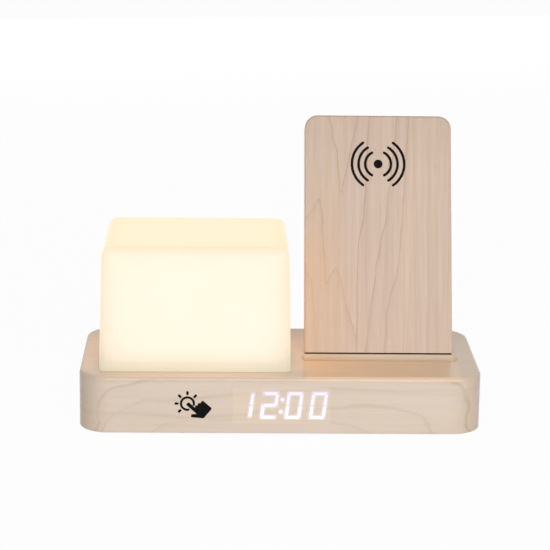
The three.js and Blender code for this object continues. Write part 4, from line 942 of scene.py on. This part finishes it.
def milk_shade():
    """White translucent plastic, lit warm from inside, weaker at its edges and at its foot."""
    low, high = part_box("lamp_shade")
    half = (high - low) / 2 / MM
    paint = Paint("milk_shade", Roughness=0.45, Specular_IOR_Level=0.15)
    paint.set("Emission Strength", SHADE_STRENGTH)
    place = paint.place((low + high) / 2)
    x, y, z = paint.axes(place)
    across = abs(x) / half.x
    deep = abs(y) / half.y
    tall = abs(z) / half.z
    most = across.highest(deep).highest(tall)
    least = across.lowest(deep).lowest(tall)
    edge = across + deep + tall - most - least
    cloud = paint.noise(place, (0.025, 0.025, 0.025), 1.0)
    reach = ((z + half.z) / LED_SPREAD).lowest(1.0)
    foot = 1 - (1 - reach) ** 4 * FOOT_DIM
    level_of = (1 - edge ** 6 * EDGE_DIM) * foot - (cloud - 0.5) * CLOUD_DIM
    corner = (across * deep) ** 4 * (1 - reach)
    sides = paint.mix(paint.ramp(level_of, SHADE_STOPS), BLACK, corner * CORNER_DIM)
    crown = paint.mix(CROWN_EDGE, CROWN_MIDDLE, level_of)
    near_top = z.step(*(half.z - depth for depth in CROWN_DEPTHS))
    paint.set("Emission Color", paint.mix(sides, crown, near_top))
    paint.set("Base Color", paint.mix(SHADE_WHITE, SHADE_CLOUD, cloud))
    return paint.material


def plastic(name, colour, roughness, wave, depth):
    """Moulded plastic with a fine spark-eroded texture."""
    paint = Paint(name, Specular_IOR_Level=0.45)
    place = paint.place()
    fine = paint.noise(place, (wave, wave, wave), 3.0, 0.6)
    broad = paint.noise(place, (0.05, 0.05, 0.05), 2.0)
    lighter = tuple(channel * 1.25 + 0.004 for channel in colour)
    paint.set("Base Color", paint.mix(colour, lighter, fine * 0.6 + broad * 0.4))
    paint.set("Roughness", roughness - 0.06 + fine * 0.12)
    paint.bump(fine, depth, FINE_DEPTH)
    return paint.material


def metal(name, colour, roughness, stretch):
    """Metal with fine drawn or brushed lines."""
    paint = Paint(name, Metallic=1.0)
    place = paint.place()
    lines = paint.noise(place, stretch, 3.0, 0.6)
    darker = tuple(channel * 0.82 for channel in colour)
    paint.set("Base Color", paint.mix(darker, colour, lines.step(0.3, 0.7)))
    paint.set("Roughness", roughness - 0.08 + lines * 0.16)
    paint.bump(lines, 0.08, METAL_DEPTH)
    return paint.material


def board(name):
    """Green solder mask over copper tracks, with small tinned pads."""
    paint = Paint(name, Roughness=0.32, Coat_Weight=0.3, Coat_Roughness=0.15)
    place = paint.place()
    x, y, z = paint.axes(place)
    lanes = paint.noise(place, (0.12, 0.12, 0.12), 1.0)
    tracks = abs((x * 0.35 + lanes * 2.0).fraction() - 0.5).step(0.20, 0.16)
    cells = paint.node("ShaderNodeTexVoronoi", {}, {"Vector": place, "Scale": 0.28}, "Distance")
    pads = cells.step(0.20, 0.16)
    colour = paint.mix(BOARD_GREEN, BOARD_TRACK, tracks)
    paint.set("Base Color", paint.mix(colour, BOARD_TIN, pads))
    paint.set("Metallic", pads * 0.9)
    paint.bump(tracks + pads, 0.2, FINE_DEPTH)
    return paint.material


def windings():
    """Enamelled copper wire wound flat, turn beside turn."""
    paint = Paint("copper_wire", Metallic=1.0)
    place = paint.place(middle_of("charging_coil"), LEAN)
    x, y, z = paint.axes(place)
    radius = (x * x + z * z) ** 0.5
    turn = abs((radius / WIRE_PITCH).fraction() - 0.5) * 2
    # Painted shade darkens the copper in the grooves between turns
    paint.set("Base Color", paint.mix(WIRE_TOP, WIRE_GROOVE_SHADE, turn ** 4))
    paint.set("Roughness", 0.26 + turn * 0.2)
    paint.bump(1 - turn * turn, 0.6, WIRE_DEPTH)
    return paint.material


def printed(name, colour, roughness):
    """Screen-printed ink, very slightly uneven."""
    paint = Paint(name, Specular_IOR_Level=0.05)
    place = paint.place()
    uneven = paint.noise(place, (0.8, 0.8, 0.8), 3.0)
    lighter = tuple(channel * 1.6 + 0.002 for channel in colour)
    paint.set("Base Color", paint.mix(colour, lighter, uneven))
    paint.set("Roughness", roughness - 0.05 + uneven * 0.1)
    return paint.material


def lit(name, colour, alpha, centre):
    """Light through the thin wood, uneven with its fibres and weaker in its upper half."""
    paint = Paint(name, Emission_Strength=1.0, Roughness=0.6, Alpha=alpha, Specular_IOR_Level=0.1)
    place = paint.place(centre)
    x, y, z = paint.axes(place)
    fibres = paint.noise(place, (0.06, 1.4, 1.4), 2.0)
    dimmer = tuple(channel * shade for channel, shade in zip(colour, DIGIT_DIMMER))
    upper = z.step(*UPPER_HEIGHTS)
    paint.set("Emission Color", paint.mix(colour, dimmer, upper * 0.7 + fibres * 0.3))
    paint.set("Base Color", paint.mix(*DIGIT_FACE, fibres))
    return paint.material


# The panel's face, from the record: how far it leans, and where its foot's front edge lies

face = next(mount for mount in frame["record"]["mounts"] if mount["name"] == "phone_back")
FACE_NORMAL = Vector(face["axis"])
FACE_UP = Vector((0, FACE_NORMAL.z, -FACE_NORMAL.y))
LEAN = math.atan2(FACE_NORMAL.z, -FACE_NORMAL.y)


def panel_foot():
    """The middle of the front edge where the panel's face meets the plane of its foot."""
    low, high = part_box("charger_front_panel")
    on_face = Vector(face["pos_m"])
    up = (on_face.z - low.z) / FACE_UP.z
    return Vector(((low.x + high.x) / 2, on_face.y - FACE_UP.y * up, low.z))


# Pieces


def make_base(material):
    low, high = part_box("base_housing")
    low.y += GLOW_RAISE
    base = soft_block("base_shell", low, high, 2, BASE_CORNER)
    round_edges(base, level(2, high.z), BASE_TOP_FILLET, FILLET_STEPS)
    round_edges(base, level(2, low.z), BASE_BOTTOM_FILLET, EDGE_STEPS)

    inner_low, inner_high = grown(low, high, (-BASE_WALL, -BASE_WALL, BASE_WALL))
    inner_high.z = high.z - BASE_TOP_THICKNESS
    cavity = soft_block("cavity", inner_low, inner_high, 2, BASE_CORNER - BASE_WALL)

    rebate_low, rebate_high = grown(*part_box("bottom_cover"), (COVER_GAP, COVER_GAP, 0))
    rebate_low.z = low.z - BASE_WALL
    rebate_high.z = low.z + COVER_REBATE
    rebate_corner = BASE_CORNER - (rebate_low.x - low.x)
    rebate = soft_block("rebate", rebate_low, rebate_high, 2, rebate_corner)

    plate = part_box("rear_plate")
    pocket_low, pocket_high = grown(*plate, (PLATE_GAP, 0, PLATE_GAP))
    pocket_low.y = high.y - PLATE_POCKET
    pocket_high.y = high.y + BASE_WALL
    pocket = soft_block("pocket", pocket_low, pocket_high, 1, PLATE_CORNER + PLATE_GAP)

    window = add_block("window", *grown(*plate, (-PLATE_LEDGE, BASE_WALL, -PLATE_LEDGE)))
    cut(base, cavity, rebate, pocket, window, make_trough(high.z))
    smooth(base)
    hand_over(base, "maple_wood", material, "base_housing")


def make_trough(top):
    """What is cut out for a phone's lower edge: part of a lying cylinder with round ends."""
    foot = panel_foot()
    low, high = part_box("charger_front_panel")
    half = (high.x - low.x) / 2 + GROOVE_SPARE
    radius = GROOVE_WIDTH ** 2 / GROOVE_DEPTH / 8 + GROOVE_DEPTH / 2
    centre = (foot.x, foot.y - GROOVE_WIDTH / 2, top - GROOVE_DEPTH + radius)
    trough = add_post("trough", centre, radius, 2 * half, 0, TROUGH_SIDES)
    for end in (foot.x - half, foot.x + half):
        round_edges(trough, level(0, end), GROOVE_END, FILLET_STEPS)
    return trough


def make_shade(material):
    """A block that narrows upwards, with round corners and top edges, hollow and open below."""
    low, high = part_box("lamp_shade")
    centre = (low + high) / 2
    size = high - low
    shade = add_block("lamp_cover", low, high)
    edit(shade, "FACE", level(2, high.z))
    shares = (1 - SHADE_WIDTH_DRAFT / size.x, 1 - SHADE_DEPTH_DRAFT / size.y, 1)
    bpy.ops.transform.resize(value=shares, center_override=(centre.x, centre.y, high.z))
    mode("OBJECT")
    weights = shade.data.attributes.new("bevel_weight_edge", "FLOAT", "EDGE")
    points = shade.data.vertices
    for edge in shade.data.edges:
        heights = [points[index].co.z for index in edge.vertices]
        if min(heights) > centre.z:
            weights.data[edge.index].value = 1
        elif max(heights) > centre.z:
            weights.data[edge.index].value = SHADE_CORNER / SHADE_TOP_FILLET
    apply(shade, "BEVEL", limit_method="WEIGHT", width=SHADE_TOP_FILLET, segments=SHADE_STEPS)
    edit(shade, "FACE", level(2, low.z))
    bpy.ops.mesh.delete(type="FACE")
    mode("OBJECT")
    apply(shade, "SOLIDIFY", thickness=SHADE_WALL, offset=-1, use_even_offset=True)
    smooth(shade)
    hand_over(shade, "milk_shade", material, "lamp_shade")


def make_panel_board(name, front, back, node, material):
    """One of the panel's two boards, drawn lying, foot at y = 0 and face at z = 0, then leant."""
    low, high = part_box(node)
    half = (high.x - low.x) / 2
    piece = add_block(name, (-half, 0, -back), (half, PANEL_HEIGHT, -front))
    shown, inner = (-front, -back) if front == 0 else (-back, -front)
    is_depth = along(2)
    is_shown = level(2, shown)

    def top_corner(first, second):
        return is_depth(first, second) and first.y > PANEL_HEIGHT / 2

    def foot_edge(first, second):
        return is_shown(first, second) and max(first.y, second.y) < PANEL_THICKNESS / 2

    def shown_edge(first, second):
        side = all(abs(abs(end.x) - half) < TINY for end in (first, second))
        low_down = max(first.y, second.y) < PANEL_THICKNESS
        foot_corner = side and low_down and abs(first.z - second.z) > TINY
        return foot_corner or is_shown(first, second) and not foot_edge(first, second)

    for depth in (front, back):
        edit(piece, "EDGE", lambda *ends: level(1, 0)(*ends) and level(2, -depth)(*ends))
        bpy.ops.transform.translate(value=(0, depth * math.tan(LEAN), 0))
        mode("OBJECT")
    round_edges(piece, top_corner, PANEL_TOP_CORNER, CORNER_STEPS)
    round_edges(piece, shown_edge, PANEL_FILLET, FILLET_STEPS)
    round_edges(piece, foot_edge, PANEL_FOOT_EDGE, EDGE_STEPS)
    round_edges(piece, level(2, inner), SEAM_EDGE, SEAM_STEPS)
    settle(piece, panel_foot(), (math.pi / 2 - LEAN, 0, 0))
    smooth(piece)
    hand_over(piece, "maple_wood", material, node)


def slanted(outline):
    return [Vector((point.x + point.y * math.tan(DIGIT_SLANT), point.y)) for point in outline]


def digit_bars(digit):
    """Outlines of a digit's lit bars about its own centre, mitred where they meet."""
    side = DIGIT_WIDTH / 2
    top = DIGIT_HEIGHT / 2
    wide = BAR_WIDTH
    gap = BAR_GAP / 2
    across = [(gap - side, top, 1), (side - gap, top, 1), (side - wide - gap, top - wide, 0)]
    across.append((wide + gap - side, top - wide, 0))
    waist = MIDDLE_GAP / 2
    upright = [(side, top - BAR_END, 1), (side, waist + wide / 4, 0.3), (side - wide / 2, waist, 0)]
    upright += [(side - wide, wide / 2 + waist, 0.3), (side - wide, top - wide - gap, 0)]
    middle = []
    for turn in (1, -1):
        middle.append((turn * (side - wide / 2 - gap), 0, 0))
        middle.append((turn * (side - wide - gap), -turn * wide / 2, 0))
        middle.append((turn * (wide + gap - side), -turn * wide / 2, 0))
    bars = {
        "top": (across, 1, 1),
        "bottom": (across, 1, -1),
        "middle": (middle, 1, 1),
        "upper_left": (upright, -1, 1),
        "upper_right": (upright, 1, 1),
        "lower_left": (upright, -1, -1),
        "lower_right": (upright, 1, -1),
    }
    outlines = []
    for bar in BARS_LIT[digit]:
        corners, flip_x, flip_y = bars[bar]
        outline = rounded([(x * flip_x, y * flip_y, BAR_CORNER * outer) for x, y, outer in corners])
        outlines.append(slanted(outline))
    return outlines


def digit_stroke(digit, reach):
    """Outline of a band that follows a digit's bars and stands out from them by a reach."""
    half = Vector(((DIGIT_WIDTH - BAR_WIDTH) / 2, (DIGIT_HEIGHT - BAR_WIDTH) / 2))
    wide = BAR_WIDTH / 2 + reach
    path = [Vector((x * half.x, y * half.y)) for x, y in STROKES[digit]]
    ways = [(here - path[order - 1]).normalized() * wide for order, here in enumerate(path)]
    closed = digit == "0"
    if closed:
        ways_at = list(zip(ways, ways[1:] + ways[:1]))
    else:
        path[0] -= ways[1]
        path[-1] += ways[-1]
        ways_at = [ways[1:2], *zip(ways[1:], ways[2:]), ways[-1:]]
    sides = []
    for side in (1, -1):
        outline = []
        for here, nearby in zip(path, ways_at):
            left = sum((Vector((-way.y, way.x)) for way in nearby), Vector((0, 0))) * side
            outline.append((*(here + left), wide * FRINGE_CORNER))
        sides.append(outline)
    if closed:
        return [slanted(rounded(outline)) for outline in sides]
    return [slanted(rounded(sides[0] + sides[1][::-1]))]


def make_display():
    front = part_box("base_housing")[0].y + GLOW_RAISE
    centre = middle_of("display_module")
    slope = math.tan(DIGIT_SLANT)
    layers = [("light", 0, GLOW_RAISE, lit("digit_light", DIGIT_WHITE, 1.0, centre))]
    for name, reach, proud, alpha in FRINGES:
        layers.append((name, reach, proud, lit(f"digit_{name}", DIGIT_VIOLET, alpha, centre)))
    for layer, reach, proud, material in layers:
        marks = []
        for order, digit in enumerate(SHOWN_TIME):
            x = centre.x + (order - (len(SHOWN_TIME) - 1) / 2) * DIGIT_PITCH
            outlines = digit_stroke(digit, reach) if reach else digit_bars(digit)
            place = (x, front, centre.z + DIGIT_LIFT)
            marks.append((f"digit_{order + 1}_{layer}", outlines, place))
        heights = (-COLON_SPREAD / 2, COLON_SPREAD / 2)
        dots = [disc_outline(y * slope, y, COLON_RADIUS + reach) for y in heights]
        marks.append((f"colon_{layer}", dots, (centre.x, front, centre.z)))
        for mark in marks:
            print_mark(*mark, "module_plastic", material, proud)


def hand_outline():
    """A pointing hand, its fingertip near the ring's centre. Corners and radii in millimetres."""
    corners = [
        (0.50, 0.95, 0.85), (3.90, -2.20, 0.10), (4.10, -0.75, 0.40), (5.20, -1.00, 0.10),
        (5.55, 0.35, 0.40), (6.60, 0.20, 0.10), (7.75, 1.85, 0.60), (12.80, -2.60, 0.90),
        (8.40, -8.00, 0.90), (1.60, -7.35, 0.70), (2.10, -5.70, 0.60), (4.85, -5.65, 0.20),
        (-0.85, -0.55, 0.85),
    ]
    return rounded([(x * MM, y * MM, radius * MM) for x, y, radius in corners])


def make_touch_mark(ink):
    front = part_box("base_housing")[0].y + GLOW_RAISE
    centre = middle_of("touch_spring") + RING_OFFSET
    outlines = [arc_outline(RING_RADIUS, RING_STROKE, RING_START, RING_END)]
    for angle in RAY_ANGLES:
        middle = spoke(angle, RAY_MIDDLE)
        outlines.append(bar_outline(*middle, angle, RAY_LENGTH, RAY_WIDTH, RAY_WIDTH / 2))
    outlines.append(hand_outline())
    print_mark("touch_mark", outlines, (centre.x, front, centre.z), "chip_plastic", ink)


def make_charging_mark(ink):
    foot = panel_foot()
    up = (middle_of("charging_coil") - foot).dot(FACE_UP)
    outlines = [disc_outline(0, 0, WAVE_DOT)]
    for radius, half in zip(WAVE_RADII, WAVE_HALF_ANGLES):
        for side in (0, math.pi):
            outlines.append(arc_outline(radius, WAVE_STROKE, side - half, side + half))
    print_mark("charging_mark", outlines, foot + FACE_UP * up, "chip_plastic", ink, lean=LEAN)


def make_button(name, body, material):
    """A round button with a soft edge and a dished face, its flange and stem behind the plate."""
    low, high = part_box(name)
    plate_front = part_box("rear_plate")[1].y
    centre = (low + high) / 2
    flange = (high.x - low.x) / 2
    radius = flange - BUTTON_FLANGE
    back = plate_front - PLATE_THICKNESS - BUTTON_SEAT
    middle = (centre.x, (back + high.y) / 2, centre.z)
    cap = add_post(f"{name}_cap", middle, radius, high.y - back, 1)
    round_edges(cap, level(1, high.y), BUTTON_EDGE, BUTTON_STEPS)
    edit(cap, "FACE", level(1, high.y))
    bpy.ops.mesh.inset(thickness=BUTTON_RIM)
    bpy.ops.transform.translate(value=(0, -BUTTON_DISH, 0))
    edit(cap, "FACE", level(1, back))
    flange_back = back - BUTTON_FLANGE_THICKNESS
    for grow, end in ((flange / radius, flange_back), (BUTTON_STEM / flange, low.y)):
        extrude(0, 0, 0)
        bpy.ops.transform.resize(value=(grow, 1, grow), center_override=(centre.x, back, centre.z))
        extrude(0, end - back, 0)
        back = end
    mode("OBJECT")
    smooth(cap)
    hand_over(cap, "button_plastic", material, name, body=body)


def make_rear_plate(material, ink):
    """The plate round the buttons and the power inlet, with soft edges and its rim behind."""
    low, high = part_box("rear_plate")
    inner = high.y - PLATE_THICKNESS
    plate = soft_block("control_plate", (low.x, inner, low.z), high, 1, PLATE_CORNER)
    round_edges(plate, level(1, high.y), PLATE_EDGE, FILLET_STEPS)
    places = {name: middle_of(f"button_{name}") for name in CONTROLS}
    holes = []
    for name, place in places.items():
        flange_low, flange_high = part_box(f"button_{name}")
        radius = (flange_high.x - flange_low.x) / 2 - BUTTON_FLANGE + HOLE_GAP
        centre = Vector((place.x, high.y, place.z))
        cut(plate, add_post("hole", centre, radius, 3 * PLATE_THICKNESS, 1))
        holes.append((centre, 0, radius))
    inlet_low, inlet_high = grown(*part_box("inlet_shell"), (HOLE_GAP, 0, HOLE_GAP))
    inlet_high.y = high.y + PLATE_THICKNESS
    half = (inlet_high - inlet_low) / 2
    cut(plate, soft_block("slot", inlet_low, inlet_high, 1, half.z - TINY))
    holes.append(((inlet_low + inlet_high) / 2, half.x - half.z, half.z))

    def on_rim(point, centre, reach, radius):
        """Whether a point is on the edge of a round hole, or of a slot, straight for a reach."""
        sideways = max(abs(point.x - centre.x) - reach, 0)
        return abs(math.hypot(sideways, point.z - centre.z) - radius) < 10 * TINY

    def hole_edge(first, second):
        ends = (first, second)
        on_holes = (all(on_rim(end, *hole) for end in ends) for hole in holes)
        return level(1, high.y)(*ends) and any(on_holes)

    round_edges(plate, hole_edge, HOLE_EDGE, EDGE_STEPS)

    margin = PLATE_LEDGE + HOLE_GAP
    rim_low = Vector((low.x + margin, low.y, low.z + margin))
    rim_high = Vector((high.x - margin, inner, high.z - margin))
    rim = soft_block("rim", rim_low, rim_high, 1, PLATE_CORNER - PLATE_LEDGE, FILLET_STEPS)
    hollow = grown(rim_low, rim_high, (-PLATE_RIM_WIDTH, PLATE_THICKNESS, -PLATE_RIM_WIDTH))
    cut(rim, add_block("hollow", *hollow))
    smooth(fuse(plate, rim))
    hand_over(plate, "black_plastic", material, "rear_plate")

    point = TRIANGLE * math.sqrt(3) / 2
    triangle = [(0, TRIANGLE), (-point, -TRIANGLE / 2), (point, -TRIANGLE / 2)]
    marks = {
        "set": [disc_outline(0, 0, TRIANGLE), disc_outline(0, 0, TRIANGLE - MARK_STROKE)],
        "up": [triangle],
        "down": [[(x, -y) for x, y in triangle[::-1]]],
    }
    for name, outlines in marks.items():
        place = (places[name].x, high.y, places[name].z + MARK_ABOVE)
        print_mark(f"mark_{name}", outlines, place, "white_plastic", ink, turned=True)


def make_foot(node, material):
    low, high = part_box(node)
    radius = (high.x - low.x) / 2
    foot = add_post(f"{node}_pad", (low + high) / 2, radius, high.z - low.z)
    round_edges(foot, level(2, low.z), FOOT_EDGE, FOOT_STEPS)
    edit(foot, "FACE", level(2, low.z))
    bpy.ops.mesh.inset(thickness=FOOT_RIM)
    extrude(0, 0, FOOT_DISH)
    mode("OBJECT")
    smooth(foot)
    hand_over(foot, "foot_rubber", material, node)


# Materials of the record's slots, for the nodes that stay


def dress_nodes():
    materials = {
        "maple_wood": BASE_WOOD,
        "milk_shade": SHADE,
        "board_laminate": board("board_laminate"),
        "copper_wire": windings(),
    }
    for name, settings in PLASTICS.items():
        materials[name] = plastic(name, *settings)
    for name, settings in METALS.items():
        materials[name] = metal(name, *settings)
    for row in frame["record"]["subparts"]:
        node = frame["nodes"][row["node"]]
        for place in node.material_slots:
            place.material = materials[row["material_slot"]]
    return materials


# Stage, light and camera


def make_floor():
    """Lights the clock as pale matt card, and looks white to the camera and in gloss."""
    paint = Paint("floor")
    seen = paint.seen("Camera", "Glossy", "Transmission") * FLOOR_WHITE
    card = paint.node("ShaderNodeBsdfDiffuse", {}, {"Color": CARD_GREY})
    white = paint.node("ShaderNodeEmission", {}, {"Color": (1, 1, 1), "Strength": 1.0})
    mixed = paint.node("ShaderNodeMixShader", {}, {0: seen, 1: card, 2: white})
    paint.tree.links.new(mixed.socket, paint.tree.nodes["Material Output"].inputs["Surface"])
    only(None)
    bpy.ops.mesh.primitive_plane_add(size=FLOOR_SIZE)
    floor = named("floor")
    floor.data.materials.append(paint.material)


def make_light(name, place, target, size, power):
    only(None)
    bpy.ops.object.light_add(type="AREA", location=place)
    lamp = named(name)
    lamp.data.shape = "RECTANGLE"
    lamp.data.size, lamp.data.size_y = size
    lamp.data.energy = power
    lamp.rotation_euler = (Vector(target) - Vector(place)).to_track_quat("-Z", "Y").to_euler()
    return lamp


def link_light(emitter, name, pieces, state):
    """Keeps a light to some pieces, or away from them."""
    group = bpy.data.collections.new(name)
    for piece in pieces:
        group.objects.link(piece)
    for entry in group.collection_objects:
        entry.light_linking.link_state = state
    emitter.light_linking.receiver_collection = group


def make_glow(base, boards):
    """The shade's warm light on the wood: a thin lamp just outside each of its four sides."""
    low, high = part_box("lamp_shade")
    centre = (low + high) / 2
    half = (high - low) / 2
    sides = [(*side, [base]) for side in SHADE_SIDES]
    sides.append(("panel", 0, 1, *PANEL_GLOW, boards))
    for name, axis, side, colour, strength, pieces in sides:
        out = Vector((0, 0, 0))
        out[axis] = side
        place = centre + out * (half[axis] + GLOW_GAP)
        width = 2 * half[1 - axis] * GLOW_SHARE
        height = 2 * half.z * GLOW_SHARE
        power = math.pi * width * height * strength
        glow = make_light(f"glow_{name}", place, place + out, (width, height), power)
        glow.data.color = colour
        glow.visible_camera = False
        glow.visible_glossy = False
        link_light(glow, f"glow_{name}_on", pieces, "INCLUDE")


def make_world():
    """White to the camera and in gloss, dimmer as light."""
    paint = Paint("studio", "worlds", "Background", Color=(1, 1, 1))
    seen = paint.seen("Camera", "Glossy").lowest(1.0)
    paint.set("Strength", seen * (1 - WORLD_LEVEL) + WORLD_LEVEL)
    bpy.context.scene.world = paint.material


def make_camera():
    only(None)
    bpy.ops.object.camera_add()
    camera = named("camera")
    turns = ((CAMERA_AZIMUTH, "Z"), (math.pi / 2 - CAMERA_ELEVATION, "X"), (CAMERA_ROLL, "Z"))
    place = Matrix.Translation(CAMERA_TARGET)
    for turn, axis in turns:
        place = place @ Matrix.Rotation(turn, 4, axis)
    camera.matrix_world = place @ Matrix.Translation((0, 0, CAMERA_DISTANCE))
    camera.data.lens = CAMERA_LENS
    camera.data.clip_end = CLIP_END
    bpy.context.scene.camera = camera


make_camera()
BASE_WOOD = base_maple()
PANEL_WOOD = panel_maple()
SHADE = milk_shade()
slots = dress_nodes()
make_base(BASE_WOOD)
make_shade(SHADE)
for name, settings in BOARDS.items():
    make_panel_board(name, *settings, PANEL_WOOD)
make_display()
ink = printed("black_ink", PRINT_BLACK, 0.7)
make_touch_mark(ink)
make_charging_mark(ink)
make_rear_plate(slots["black_plastic"], printed("grey_ink", PRINT_GREY, 0.6))
for control in CONTROLS:
    make_button(f"button_{control}", f"{control}_button", slots["button_plastic"])
for corner in FEET:
    make_foot(f"foot_{corner}", slots["foot_rubber"])

make_floor()
make_world()
for name, (place, size, power) in LIGHTS.items():
    make_light(name, place, LIGHT_TARGET, size, power)
bpy.data.objects["back_light"].visible_glossy = False
boards = [bpy.data.objects[name] for name in BOARDS]
make_glow(bpy.data.objects["base_shell"], boards)
link_light(bpy.data.objects["lamp_cover"], "glow_not_on", boards, "EXCLUDE")
bpy.context.scene.view_settings.view_transform = "Standard"
